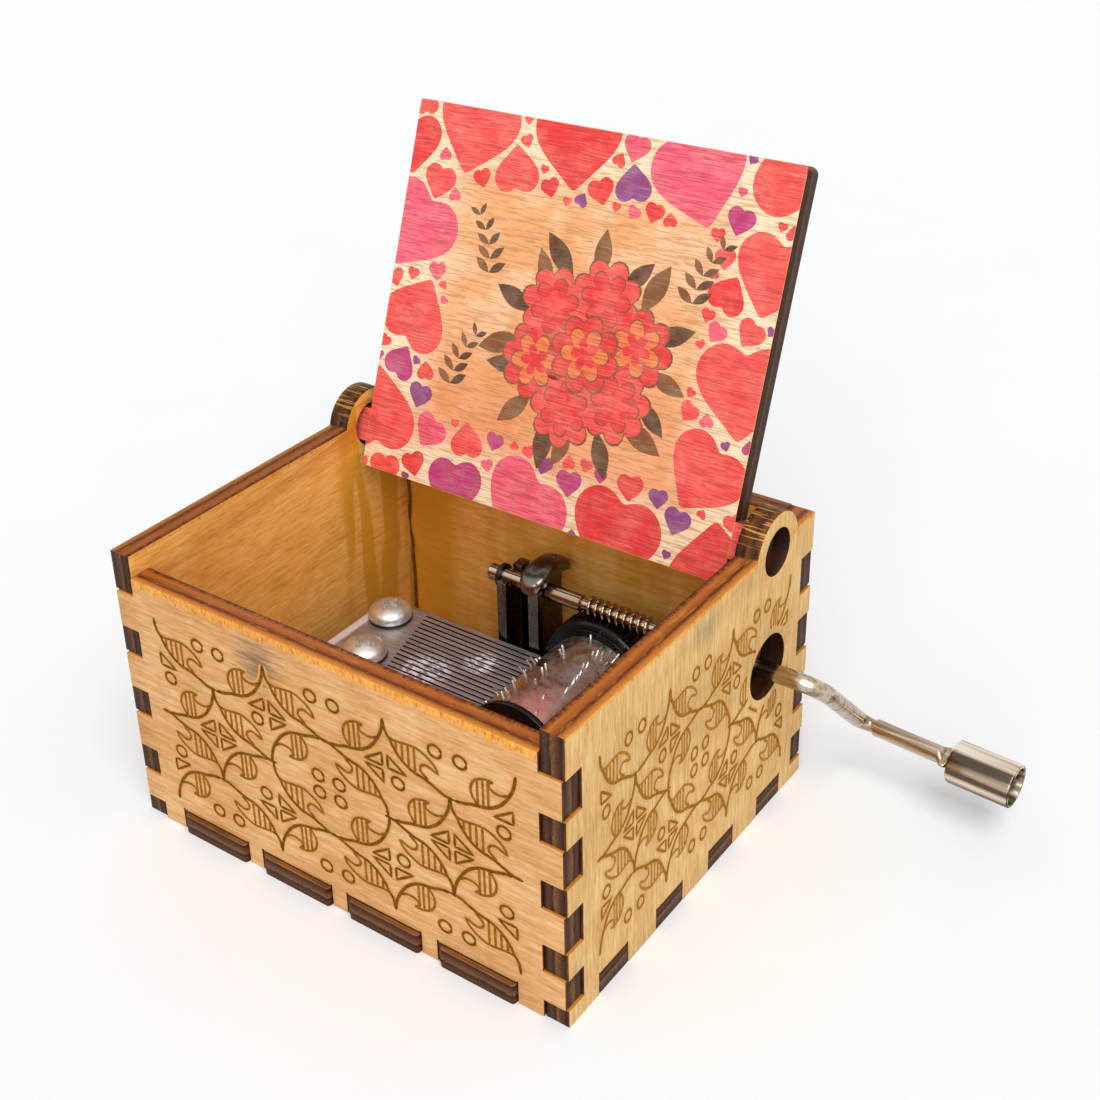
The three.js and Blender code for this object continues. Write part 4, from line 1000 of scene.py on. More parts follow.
class Ornament:
    """Burnt lattice of cells on one wall. area is left, right, bottom and top on the wall's plane."""

    def __init__(self, plane, area, burn, hole=None):
        self.plane = plane
        self.left, self.right, self.bottom, self.top = area
        self.cell_width = (self.right - self.left) / ORNAMENT_COLUMNS
        self.cell_height = (self.top - self.bottom) / len(ORNAMENT_ROWS)
        self.burn = burn
        self.hole = hole
        self.maker = MeshMaker()

    def place(self, u, v):
        """A place given in cells from the lattice's lower left corner."""
        return Vector((self.left + u * self.cell_width, self.bottom + v * self.cell_height))

    def stroke(self, points, width=LINE_WIDTH, burn=LEAF_BURN, curved=True):
        line = smooth_line(points, STROKE_STEP) if curved else straight_line(points, STROKE_STEP)
        for run in self.clear_runs(line):
            add_stroke(self.maker, self.plane, run, width, burn * self.burn)

    def clear_runs(self, line):
        """The stretches of a line that stay off the hole."""
        if self.hole is None:
            return [line]
        centre, radius = self.hole
        centre = Vector((centre.y, centre.z))
        runs = [[]]
        for point in line:
            if (point - centre).length > radius + HOLE_CLEARANCE + HALO_SPREAD:
                runs[-1].append(point)
            elif runs[-1]:
                runs.append([])
        return [run for run in runs if len(run) > 1]

    def cell(self, column, row, kind):
        """One cell: its letter says whether the stem falls or rises, and a small letter turns it round."""
        def spot(share):
            u, v = (1 - share[0], 1 - share[1]) if kind.islower() else share
            return self.place(column + u, row + v)

        stem, leaf, hatch = CELL_SHARES[kind.upper()]
        self.stroke([spot(s) for s in stem], STEM_WIDTH, 1.0)
        self.stroke([spot(s) for s in leaf])
        for u in hatch:
            low = height_on(stem, u)
            high = height_on(leaf[LEAF_CURL_START:], u)
            if kind.upper() == "L":
                high = max(high, height_on(leaf[:LEAF_BACK_POINTS], u))
            if high - low > HATCH_LEAST_SHARE:
                middle = (low + high) / 2
                self.stroke([spot((u, low)), spot((u, middle)), spot((u, high))], burn=HATCH_BURN)

    def oval(self, u, v):
        centre = self.place(u, v)
        half_width = OVAL_WIDTH_SHARE / 2 * self.cell_width
        half_height = OVAL_HEIGHT_SHARE / 2 * self.cell_height
        points = [centre + Vector((math.cos(a) * half_width, math.sin(a) * half_height))
                  for a in round_angles(OVAL_SIDES)]
        self.stroke(points + points[:1], burn=1.0)

    def quadrant(self, u, v, side, rise):
        """A right-angled triangle in one quarter of a diamond."""
        gap_u = DIAMOND_GAP_SHARE * side
        gap_v = DIAMOND_GAP_SHARE * rise
        corner = self.place(u + gap_u, v + gap_v)
        outer = self.place(u + DIAMOND_WIDTH_SHARE * side, v + gap_v)
        upper = self.place(u + gap_u, v + DIAMOND_HEIGHT_SHARE * rise)
        self.stroke([corner, outer, upper, corner], burn=1.0, curved=False)

    def draw(self, name, material):
        rows = len(ORNAMENT_ROWS)
        for index, row in enumerate(ORNAMENT_ROWS):
            for column, kind in enumerate(row):
                self.cell(column, rows - 1 - index, kind)
        for pair in range(ORNAMENT_COLUMNS // 2):
            middle = 2 * pair + 1
            for side in SIDES:
                self.oval(middle + side * OVAL_GAP_SHARE, rows - OVAL_EDGE_SHARE)
                self.oval(middle + side * OVAL_GAP_SHARE, OVAL_EDGE_SHARE)
        self.middle_row(rows / 2)
        self.clusters(rows)
        return self.maker.make(name, material, number_name="burn")

    def middle_row(self, middle):
        """Four ovals at the lattice's centre, and a diamond of four triangles towards each end."""
        for side, rise in QUARTERS:
            self.oval(ORNAMENT_COLUMNS / 2 + side * CENTRE_OVAL_SHARE, middle + rise * CENTRE_OVAL_SHARE)
            for u in (1, ORNAMENT_COLUMNS - 1):
                self.quadrant(u, middle, side, rise)

    def clusters(self, rows):
        """Diamonds of three triangles and an oval, cut in half at the lattice's ends."""
        for index, u in enumerate(range(0, ORNAMENT_COLUMNS + 1, 2)):
            inner = 1 if index % 2 == 0 else -1
            for v, inwards in ((1, 1), (rows - 1, -1)):
                for side, rise in QUARTERS:
                    if not 0 <= u + side <= ORNAMENT_COLUMNS:
                        continue
                    if (side, rise) == (inner, inwards):
                        self.oval(u + side * CLUSTER_OVAL_SHIFT_SHARE, v + rise * CLUSTER_OVAL_SHIFT_SHARE)
                    else:
                        self.quadrant(u, v, side, rise)


def crank_hole():
    """Centre and radius of the hole that the crank comes through."""
    return joint_place("crank_spin") + CRANK_HOLE_SHIFT, CRANK_HOLE_RADIUS


def build_ornaments(walls):
    """The same lattice on each wall, along the grain and in the tones of that wall."""
    kinds = (("front", FRONT_ORNAMENT, FRONT_BURN, None, X_AXIS, TAN),
             ("right", SIDE_ORNAMENT, SIDE_BURN, crank_hole(), Z_AXIS, PALE),
             ("left", SIDE_ORNAMENT, FRONT_BURN, None, Y_AXIS, TAN),
             ("back", FRONT_ORNAMENT, FRONT_BURN, None, X_AXIS, TAN))
    for wall, area, burn, hole, grain, tones in kinds:
        material = engraving("burnt_line_" + wall, grain, tones)
        piece = Ornament(walls[wall], area, burn, hole).draw(wall + "_ornament", material)
        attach(piece, "case")


def build_seam():
    """Burnt joint line where the left wall meets the back wall, inside the box."""
    wall, wall_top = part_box("back_panel")
    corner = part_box("left_panel")[1].x
    plane = Plane((corner + SEAM_INSET, wall.y, 0), RIGHT, UP)
    chance = random.Random(SEAM_SEED)
    points = []
    for i in range(SEAM_STEPS + 1):
        height = PLY + (wall_top.z - PLY) * i / SEAM_STEPS
        points.append(Vector((SEAM_WIDTH * chance.uniform(*SEAM_SWAY_SHARES), height)))
    maker = MeshMaker()
    add_stroke(maker, plane, smooth_line(points, STROKE_STEP), SEAM_WIDTH, SEAM_BURN)
    seam = maker.make("corner_seam", engraving("burnt_seam", Z_AXIS, GLUED), number_name="burn")
    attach(seam, "case")


# Print inside the lid
def heart(size, tilt):
    """Outline of a plump heart about its middle."""
    turn = Matrix.Rotation(tilt, 2)
    points = []
    for t in round_angles(HEART_POINTS):
        x = 16 * math.sin(t) ** 3
        y = 13 * math.cos(t) - 5 * math.cos(2 * t) - 2 * math.cos(3 * t) - math.cos(4 * t)
        sharp = Vector((x, y + 2.5)) / 16
        plump = Vector((math.sin(t), math.cos(t)))
        points.append(turn @ sharp.lerp(plump, HEART_ROUNDNESS) * (size / 2))
    return points


def covered(points, across, up):
    """Which places of a grid lie inside a closed outline."""
    inside = numpy.zeros(across.shape, bool)
    for a, b in closed_sides(points):
        if a.y == b.y:
            continue
        crosses = (a.y > up) != (b.y > up)
        inside ^= crosses & (across < (b.x - a.x) * (up - a.y) / (b.y - a.y) + a.x)
    return inside


def clipped(points, left, right, bottom, top):
    """A closed outline cut to a rectangle."""
    for axis, limit, sign in ((0, left, 1), (0, right, -1), (1, bottom, 1), (1, top, -1)):
        kept = []
        for a, b in closed_sides(points):
            inside_a = (a[axis] - limit) * sign >= 0
            inside_b = (b[axis] - limit) * sign >= 0
            if inside_a:
                kept.append(a)
            if inside_a != inside_b:
                kept.append(a + (b - a) * ((limit - a[axis]) / (b[axis] - a[axis])))
        points = kept
    return points


class LidPrint:
    """The print on the lid's inner face: a border of hearts round a bunch of flowers."""

    def __init__(self, plane):
        self.plane = plane
        self.left = PRINT_INSET - LID_HALF_WIDTH
        self.right = LID_HALF_WIDTH - PRINT_INSET
        self.bottom = PRINT_INSET - LID_TAIL
        self.top = LID_REACH - PRINT_INSET
        self.chance = random.Random(PRINT_SEED)
        self.inks = {}

    def area(self, colour, points, layer):
        """A patch of one ink, on a layer above the ground."""
        corners = clipped(points, self.left, self.right, self.bottom, self.top)
        if len(corners) < 3:
            return
        maker = self.inks.setdefault(colour, MeshMaker())
        run = list(range(len(corners)))
        twice_area = sum(a.x * b.y - b.x * a.y for a, b in closed_sides(corners))
        lift = PRINT_LIFT + INK_LIFT * layer + maker.count % LIFT_STEPS * LIFT_STEP / 2
        maker.add([self.plane.point(p.x, p.y, lift) for p in corners], [run if twice_area > 0 else run[::-1]])

    def heart_colour(self, size):
        if size < SMALL_HEART and self.chance.random() < SMALL_HEART_SHARE:
            return self.chance.choice(SMALL_HEART_INKS)
        return self.chance.choice(HEART_INKS)

    def hearts(self):
        """Hearts of all sizes, packed into the border from the largest to the smallest."""
        margin = math.ceil(HEART_SIZES[0] / PACKING_CELL)
        columns = math.ceil((self.right - self.left) / PACKING_CELL)
        rows = math.ceil((self.top - self.bottom) / PACKING_CELL)
        taken = numpy.zeros((rows + 2 * margin, columns + 2 * margin), bool)
        band = round(HEART_BAND / PACKING_CELL)
        taken[margin + band:margin + rows - band, margin + band:margin + columns - band] = True
        for size, tries in zip(HEART_SIZES, HEART_TRIES):
            stamps = [self.heart_stamp(size, tilt) for tilt in HEART_TILTS]
            for _ in range(tries):
                tilt, half, own, grown = self.chance.choice(stamps)
                column = self.chance.randrange(columns)
                row = self.chance.randrange(rows)
                window = taken[margin + row - half:margin + row + half + 1,
                               margin + column - half:margin + column + half + 1]
                if (window & grown).any():
                    continue
                window |= own
                centre = Vector((self.left + column * PACKING_CELL, self.bottom + row * PACKING_CELL))
                self.area(self.heart_colour(size), [centre + p for p in heart(size, tilt)], HEART_LAYER)

    def heart_stamp(self, size, tilt):
        """The grid cells that a heart covers, alone and with the gap round it."""
        half = math.ceil(size / 2 / PACKING_CELL) + STAMP_MARGIN_CELLS
        steps = numpy.arange(-half, half + 1) * PACKING_CELL
        across, up = numpy.meshgrid(steps, steps)
        own = covered(heart(size, tilt), across, up)
        grown = covered(heart(size + 2 * HEART_GAP, tilt), across, up)
        return tilt, half, own, grown

    def petal(self, centre, angle, length, width):
        """A round petal that points away from the flower's middle."""
        along = unit(angle)
        points = []
        for t in round_angles(PETAL_SIDES):
            reach = 0.5 - 0.5 * math.cos(t)
            bulge = math.sin(t) * width / 2 * (0.5 + reach / 2)
            points.append(centre + along * (reach * length) + left_of(along) * bulge)
        return points

    def blossom(self, centre, first, second, layer):
        """Three rings of petals in two inks, the outer two with larger dark petals under them. Returns how
        many layers it takes."""
        turn = self.chance.uniform(0, math.pi)
        rings = ((8, 1.0, "leaf_warm", 1.06), (8, 1.0, first, 1.0), (6, 0.7, "leaf_warm", 1.07),
                 (6, 0.7, second, 1.0), (5, 0.42, first, 1.0))
        for ring, (count, reach, colour, growth) in enumerate(rings):
            for i in range(count):
                angle = turn + (i + (ring // 2) * 0.5) / count * 2 * math.pi
                length = BLOSSOM_RADIUS * reach * growth
                petal = self.petal(centre, angle, length, length * PETAL_WIDTH_SHARE)
                self.area(colour, petal, layer + ring)
        return len(rings)

    def leaf(self, start, angle, length, colour):
        """A slender leaf, drawn out along one side and back along the other."""
        along = unit(angle)
        points = []
        for side, steps in ((1, range(LEAF_STEPS + 1)), (-1, range(LEAF_STEPS - 1, 0, -1))):
            for i in steps:
                t = i / LEAF_STEPS
                bulge = side * (math.sin(math.pi * t) * length * LEAF_WIDTH_SHARE)
                points.append(start + along * (t * length) + left_of(along) * bulge)
        self.area(colour, points, LEAF_LAYER)

    def sprig(self, start, lean):
        """A small twig with dark leaves on both sides."""
        for i in range(SPRIG_LEAVES):
            place = start + Vector((lean * i, 1)) * (i * SPRIG_STEP)
            length = SPRIG_LEAF * (1 - SPRIG_SHRINK_SHARE * i)
            for side in SIDES:
                angle = math.pi / 2 - side * (SPRIG_SPREAD - SPRIG_CLOSING * i) - lean * i
                self.leaf(place, angle, length, "leaf" if side > 0 else "leaf_warm")

    def bunch(self):
        """Leaves first, then the blossoms over them, in rings about the bunch's middle."""
        for i, angle in enumerate(round_angles(LEAF_COUNT)):
            start = BUNCH_CENTRE + unit(angle) * LEAF_DISTANCE
            length = LEAF_LENGTH * LEAF_LENGTH_SHARES[i % 3]
            self.leaf(start, angle + LEAF_TURN * (i % 3 - 1), length, "leaf" if i % 2 else "leaf_warm")
        layer = BLOSSOM_LAYER
        for count, distance in BLOSSOM_RINGS[::-1]:
            for i in range(count):
                angle = (i + BLOSSOM_TURN_SHARE) / count * 2 * math.pi
                centre = BUNCH_CENTRE + unit(angle) * distance
                first, second = ("coral", "red") if i % 3 else ("red", "orange")
                layers = self.blossom(centre, first, second, layer)
            layer += layers


def add_peg_prints(lid_print):
    """The print runs on over the two pegs that the lid turns on."""
    low = PRINT_INSET - PEG_HALF_WIDTH
    for side in SIDES:
        left, right = sorted((side * LID_HALF_WIDTH, side * PEG_PRINT_END))
        places = ((left, low), (right, low), (right, -low), (left, -low))
        corners = [lid_print.plane.point(u, v, PRINT_LIFT) for u, v in places]
        lid_print.inks["coral"].add(corners, [[0, 1, 2, 3]])


def build_print(plane):
    lid_print = LidPrint(plane)
    lid_print.hearts()
    for index, place in enumerate(SPRIG_PLACES):
        lid_print.sprig(place, SPRIG_LEAN * (-1) ** index)
    lid_print.bunch()
    add_peg_prints(lid_print)
    middle = plane.point(0, (LID_REACH - LID_TAIL) / 2)
    sheet = rounded_rectangle(lid_print.left, lid_print.right, lid_print.bottom, lid_print.top, PRINT_CORNER)
    ground = MeshMaker()
    ground.add([plane.point(p.x, p.y, PRINT_LIFT) for p in sheet], [list(range(len(sheet)))])
    material = print_ground("print_ground", middle, LID_HALF_WIDTH, (LID_REACH + LID_TAIL) / 2, plane.up)
    pieces = [ground.make("lid_print_ground", material)]
    for colour, maker in lid_print.inks.items():
        pieces.append(maker.make("lid_print_" + colour, ink("ink_" + colour, srgb(colour))))
    for piece in pieces:
        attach(piece, "lid")


# Crank rod with its worm
def bend(corner, before, after, radius):
    """Centre points of a round bend and the directions along it."""
    angle = before.angle(after)
    setback = radius * math.tan(angle / 2)
    inwards = (after - before * after.dot(before)).normalized()
    centre = corner - before * setback + inwards * radius
    points = []
    for i in range(BEND_STEPS + 1):
        turn = i / BEND_STEPS * angle
        place = centre + before * (radius * math.sin(turn)) - inwards * (radius * math.cos(turn))
        points.append((place, before * math.cos(turn) + inwards * math.sin(turn)))
    return points


class RodSweep:
    """Rings along a rod's path. Each ring has two radii, so that the rod can be flattened."""

    def __init__(self, side):
        self.rings = []
        self.side = side

    def ring(self, place, direction, wide=ROD_RADIUS, thin=None, turn=0.0):
        thin = thin or wide
        self.side = (self.side - direction * self.side.dot(direction)).normalized()
        other = direction.cross(self.side)
        ring = []
        for angle in round_angles(ROD_SIDES):
            local = Vector((wide * math.cos(angle - turn), thin * math.sin(angle - turn)))
            local.rotate(Matrix.Rotation(turn, 2))
            ring.append(place + self.side * local.x + other * local.y)
        self.rings.append(ring)


def build_crank(nickel):
    shaft = joint_place("crank_spin")
    knob_start = joint_place("knob_spin")
    handle = joint_axis("knob_spin")
    handle = handle * math.copysign(1, handle.x)
    first = Vector((ARM_X, shaft.y, shaft.z))
    second = knob_start + handle * ((ARM_X - knob_start.x) / handle.x)
    arm = (second - first).normalized()
    sweep = RodSweep(UP)
    shaft_rings(sweep, shaft)
    for place, direction in bend(first, RIGHT, arm, ARM_BEND_RADIUS):
        sweep.ring(place, direction)
    handle_rings(sweep, bend(second, arm, handle, HANDLE_BEND_RADIUS), knob_start, handle)
    maker = MeshMaker()
    maker.rings(sweep.rings)
    add_worm(maker, shaft)
    rod = maker.make("crank_rod_bent", nickel)
    smooth_by_angle(rod)
    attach(rod, "crank")
    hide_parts("crank_rod")


def shaft_rings(sweep, shaft):
    """The straight shaft, with its clip groove and the waist under the worm's thread."""
    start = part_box("crank_rod")[0].x
    groove = start + GROOVE_START
    worm_end = WORM_START_X + WORM_LENGTH
    stations = ((start, ROD_RADIUS - ROD_END_CHAMFER), (start + ROD_END_CHAMFER, ROD_RADIUS),
                (groove, ROD_RADIUS), (groove, ROD_RADIUS - GROOVE_DEPTH),
                (groove + GROOVE_WIDTH, ROD_RADIUS - GROOVE_DEPTH), (groove + GROOVE_WIDTH, ROD_RADIUS),
                (WORM_START_X - ROD_END_CHAMFER, ROD_RADIUS), (WORM_START_X, WORM_CORE_RADIUS),
                (worm_end, WORM_CORE_RADIUS), (worm_end + ROD_END_CHAMFER, ROD_RADIUS))
    for x, radius in stations:
        sweep.ring(Vector((x, shaft.y, shaft.z)), RIGHT, radius)


def handle_rings(sweep, turns, knob_start, handle):
    """The pressed bend, the handle, the crimped ears in front of the knob and the head inside it."""
    for i, (place, direction) in enumerate(turns):
        press = i / (len(turns) - 1)
        sweep.ring(place, direction, ROD_RADIUS + CREASE_SPREAD * press, ROD_RADIUS - CREASE_PRESS * press,
                   CREASE_TURN)
    place = turns[-1][0]
    sweep.ring(place + handle * ROD_END_CHAMFER, handle, ROD_RADIUS + CREASE_SPREAD, ROD_RADIUS, CREASE_TURN)
    sweep.ring(place + handle * CREASE_FADE, handle)
    crimp_end = knob_start - handle * CRIMP_GAP
    crimp_start = crimp_end - handle * CRIMP_LENGTH
    for share, swell in CRIMP_SHARES:
        wide = ROD_RADIUS + (CRIMP_HALF_SPAN - ROD_RADIUS) * swell
        thin = ROD_RADIUS + (CRIMP_HALF_THICKNESS - ROD_RADIUS) * swell
        sweep.ring(crimp_start.lerp(crimp_end, share), handle, wide, thin, CRIMP_TURN)
    head = knob_start + handle * (KNOB_FLOOR + KNOB_PLAY)
    sweep.ring(head, handle)
    for reach, width in HEAD_PROFILE_SHARES:
        sweep.ring(head + handle * (HEAD_LENGTH * reach), handle, HEAD_RADIUS * width)


def add_worm(maker, shaft):
    """Thread of the worm, with a turn on each side of the wheel's upright tooth."""
    wheel_x = joint_place("cylinder_spin").x
    middle_turn = round((wheel_x - WORM_START_X) / WORM_PITCH)
    first_x = wheel_x - (middle_turn - 0.5) * WORM_PITCH
    turns = math.floor((WORM_LENGTH - 2 * WORM_ROOT_HALF_WIDTH) / WORM_PITCH)
    root = WORM_CORE_RADIUS * WORM_ROOT_SHARE
    side = WORM_CREST_RADIUS * WORM_SIDE_SHARE
    section = ((WORM_ROOT_HALF_WIDTH, root), (WORM_CREST_HALF_WIDTH, side), (0.0, WORM_CREST_RADIUS),
               (-WORM_CREST_HALF_WIDTH, side), (-WORM_ROOT_HALF_WIDTH, root))
    rings = []
    for step in range(turns * WORM_STEPS_PER_TURN + 1):
        turn = step / WORM_STEPS_PER_TURN
        angle = turn * 2 * math.pi - math.pi / 2
        rings.append([Vector((first_x + turn * WORM_PITCH + offset, shaft.y + radius * math.cos(angle),
                              shaft.z + radius * math.sin(angle))) for offset, radius in section])
    maker.rings(rings)


# Smaller metal and plastic pieces
def build_clip(steel):
    """Open ring in the groove at the shaft's end."""
    low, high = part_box("retaining_clip")
    shaft = joint_place("crank_spin")
    start = CLIP_MOUTH / 2 - math.pi / 2
    end = start + 2 * math.pi - CLIP_MOUTH
    centre = Vector((shaft.y, shaft.z))
    outer = arc_points(centre, CLIP_RADIUS, start, end, ROD_SIDES)
    inner = arc_points(centre, ROD_RADIUS - GROOVE_DEPTH, start, end, ROD_SIDES)
    maker = MeshMaker()
    maker.prism_along_x(outer + inner[::-1], low.x, high.x)
    clip = maker.make("open_ring_clip", steel)
    smooth_by_angle(clip)
    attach(clip, "crank")
    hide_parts("retaining_clip")


def build_bracket(gunmetal):
    """Left shaft bracket: an upright with a rounded hood over the shaft, riveted on top."""
    low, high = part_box("shaft_bracket_left")
    upright = MeshMaker()
    add_bracket_upright(upright, low, high)
    column = upright.make("bracket_upright", gunmetal)
    soften_edges(column, SMALL_EDGE)
    hood = MeshMaker()
    middle = (low + high) / 2
    hood.rings([hood_ring(middle, HOOD_HALF_WIDTH * inset, high.z - HOOD_THICKNESS * drop)
                for inset, drop in HOOD_LEVEL_SHARES])
    cap = hood.make("bracket_hood", gunmetal)
    rivet = MeshMaker()
    seat_z = high.z - HOOD_DROOP * (RIVET_SHIFT_Y / HOOD_HALF_LENGTH) ** 2
    seat = Vector((middle.x, middle.y + RIVET_SHIFT_Y, seat_z))
    levels = [(RIVET_RADIUS * width, RIVET_RISE * rise) for width, rise in RIVET_PROFILE_SHARES]
    rivet.rings([[seat + Vector((math.cos(a) * radius, math.sin(a) * radius, rise))
                  for a in round_angles(RIVET_SIDES)] for radius, rise in levels])
    head = rivet.make("bracket_rivet", gunmetal)
    for piece in (column, cap, head):
        smooth_by_angle(piece, ROUNDED_ANGLE)
        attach(piece, "case")
    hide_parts("shaft_bracket_left")


def add_bracket_upright(maker, low, high):
    """Web with an open slot for the shaft, and a leg along its front."""
    shaft = joint_place("crank_spin")
    top = high.z - HOOD_THICKNESS * BRACKET_TOP_SHARE
    slot = ROD_RADIUS + SHAFT_PLAY
    notch = arc_points(Vector((shaft.y, shaft.z)), slot, 0.0, -math.pi, ROD_SIDES // 2)
    before = ((low.y, low.z), (high.y, low.z), (high.y, top), (shaft.y + slot, top))
    after = ((shaft.y - slot, top), (low.y, top))
    web = [*map(Vector, before), *notch, *map(Vector, after)]
    maker.prism_along_x(web, low.x, low.x + BRACKET_WEB)
    leg = ((low.x, low.y), (high.x, low.y), (high.x, low.y + BRACKET_LEG), (low.x, low.y + BRACKET_LEG))
    maker.prism_upwards([Vector(corner) for corner in leg], low.z, top)


def hood_ring(middle, inset, top):
    """One level of the hood: a long rounded outline that droops towards its two ends."""
    radius = HOOD_HALF_WIDTH - inset
    reach = HOOD_HALF_LENGTH - HOOD_HALF_WIDTH
    outline = arc_points(Vector((0, reach)), radius, 0.0, math.pi, HOOD_SIDE_STEPS)
    outline += [Vector((-radius, reach * (1 - 2 * i / HOOD_SIDE_STEPS))) for i in range(1, HOOD_SIDE_STEPS)]
    outline += arc_points(Vector((0, -reach)), radius, math.pi, 2 * math.pi, HOOD_SIDE_STEPS)
    outline += [Vector((radius, reach * (2 * i / HOOD_SIDE_STEPS - 1))) for i in range(1, HOOD_SIDE_STEPS)]
    return [Vector((middle.x + p.x, middle.y + p.y, top - HOOD_DROOP * (p.y / HOOD_HALF_LENGTH) ** 2))
            for p in outline]


def build_collar(plastic):
    """Smooth stepped collar in front of the worm wheel's teeth."""
    axis = joint_place("cylinder_spin")
    maker = MeshMaker()
    maker.rings([wheel_ring(axis, radius, COLLAR_REAR_Y - forward, ROUND_STEPS)
                 for radius, forward in COLLAR_PROFILE], capped=False)
    collar = maker.make("wheel_collar", plastic)
    smooth_by_angle(collar)
    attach(collar, "cylinder")


def build_drum_skin(steel):
    """Seamless round skin over the pinned cylinder."""
    axis = joint_place("cylinder_spin")
    maker = MeshMaker()
    maker.rings([wheel_ring(axis, DRUM_SKIN_RADIUS, y, ROUND_STEPS * 2) for y in (DRUM_FRONT_Y, DRUM_REAR_Y)],
                capped=False)
    skin = maker.make("cylinder_skin", steel)
    smooth_by_angle(skin)
    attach(skin, "cylinder")


def build_pins(steel):
    """Fine pins all round the cylinder, at random places on each tooth's track."""
    axis = joint_place("cylinder_spin")
    chance = random.Random(PIN_SEED)
    maker = MeshMaker()
    levels = ((PIN_ROOT_RADIUS, PIN_RADIUS), (PIN_TIP_RADIUS, PIN_RADIUS),
              (PIN_TIP_RADIUS + PIN_RADIUS / 2, PIN_RADIUS * PIN_TIP_SHARE))
    for track in range(TRACK_COUNT):
        centre = Vector((axis.x, TRACKS_START_Y - (track + 0.5) * TRACK_PITCH, axis.z))
        for _ in range(PINS_PER_TRACK):
            angle = chance.uniform(0, 2 * math.pi)
            out = Vector((math.sin(angle), 0, math.cos(angle)))
            other = out.cross(REAR)
            maker.rings([[centre + out * reach + (REAR * math.cos(a) + other * math.sin(a)) * radius
                          for a in round_angles(PIN_SIDES)] for reach, radius in levels])
    piece = maker.make("cylinder_pins_fine", steel)
    smooth_by_angle(piece)
    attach(piece, "cylinder")


def build_noses():
    """Rounded ends of the front tabs, which stand a little out of the front wall."""
    low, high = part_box("bottom_panel")
    start = low.x + TAB_MARGIN
    pitch = (high.x - low.x - 2 * TAB_MARGIN + TAB_GAP) / TAB_COUNT
    maker = MeshMaker()
    for i in range(TAB_COUNT):
        outline = rounded_rectangle(start + pitch * i + NOSE_SLOT, start + pitch * (i + 1) - TAB_GAP,
                                    low.y - NOSE_REACH, low.y + NOSE_ROOT, NOSE_CORNER)
        maker.prism_upwards(outline, NOSE_LOW, NOSE_HIGH)
    noses = maker.make("tab_noses", plywood("plywood_tabs", UP, PLY, X_AXIS, BROWNED))
    soften_edges(noses, SOFT_EDGE)
    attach(noses, "case")


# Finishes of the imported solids
def dress(name, material, edge=SOFT_EDGE, segments=2, recessed_axis=None):
    """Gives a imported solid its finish, softened edges and smooth round faces."""
    piece = nodes[name]
    piece.material_slots[0].material = material
    smooth_by_angle(piece)
    weld = piece.modifiers.new("weld", "WELD")
    weld.merge_threshold = WELD_DISTANCE
    if recessed_axis is not None:
        recess_ends(piece, name, recessed_axis)
    if edge:
        soften_edges(piece, edge, segments)


def recess_ends(piece, name, axis):
    """Sets a panel's finger ends a little behind the faces beside them."""
    low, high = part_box(name)
    for limit, sign in ((low[axis], -1), (high[axis], 1)):
        group = piece.vertex_groups.new(name="ends" + str(sign))
        ends = [v.index for v in piece.data.vertices if abs(v.co[axis] - limit) < END_TOLERANCE]
        group.add(ends, 1.0, "REPLACE")
        push = piece.modifiers.new("recess" + str(sign), "DISPLACE")
        push.vertex_group = group.name
        push.direction = "XYZ"[axis]
        push.mid_level = 0
        push.strength = -sign * END_RECESS


def dress_box():
    low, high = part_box("bottom_panel")
    side_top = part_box("back_panel")[1].z
    front_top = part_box("front_panel")[1].z
    front_x, front_z, *front_mark = FRONT_SMUDGE
    right_y, right_z, *right_mark = RIGHT_SMUDGE
    pivot = (joint_place("lid_hinge"), PIVOT_HOLE_RADIUS)
    left = plywood("plywood_left", -RIGHT, -low.x, Y_AXIS, top=side_top, dark=0.3, stain=left_stain,
                   ridge_from=side_top, holes=(pivot,))
    right = plywood("plywood_right", RIGHT, high.x, Z_AXIS, PALE, top=side_top, ridge_from=side_top,
                    smudge=((high.x, right_y, right_z), *right_mark), holes=(pivot, crank_hole()))
    front = plywood("plywood_front", -REAR, -low.y, X_AXIS, top=front_top, fringe=FRONT_FRINGE_DEPTH,
                    smudge=((front_x, low.y, front_z), *front_mark))
    back = plywood("plywood_back", REAR, high.y, X_AXIS, top=side_top, dark=0.45, stain=back_stain)
    dress("left_panel", left, recessed_axis=Y_AXIS)
    dress("right_panel", right, recessed_axis=Y_AXIS)
    dress("front_panel", front, recessed_axis=X_AXIS)
    dress("back_panel", back, recessed_axis=X_AXIS)
    dress("bottom_panel", plywood("plywood_bottom", -UP, 0.0, X_AXIS))


def lid_plane():
    """Plane of the lid's inner face, with its up direction away from the hinge."""
    low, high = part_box("lid_panel")
    hinge = joint_place("lid_hinge")
    up = Vector((0, -math.cos(LID_OPEN_ANGLE), math.sin(LID_OPEN_ANGLE)))
    middle = Vector(((low.x + high.x) / 2, hinge.y, hinge.z))
    return Plane(middle + RIGHT.cross(up) * (PLY / 2), RIGHT, up)


def dress_lid():
    plane = lid_plane()
    outwards = -plane.outwards
    outer = outwards.dot(plane.origin) + PLY
    dress("lid_panel", plywood("plywood_lid", outwards, outer, X_AXIS, dark=0.5))
    build_print(plane)


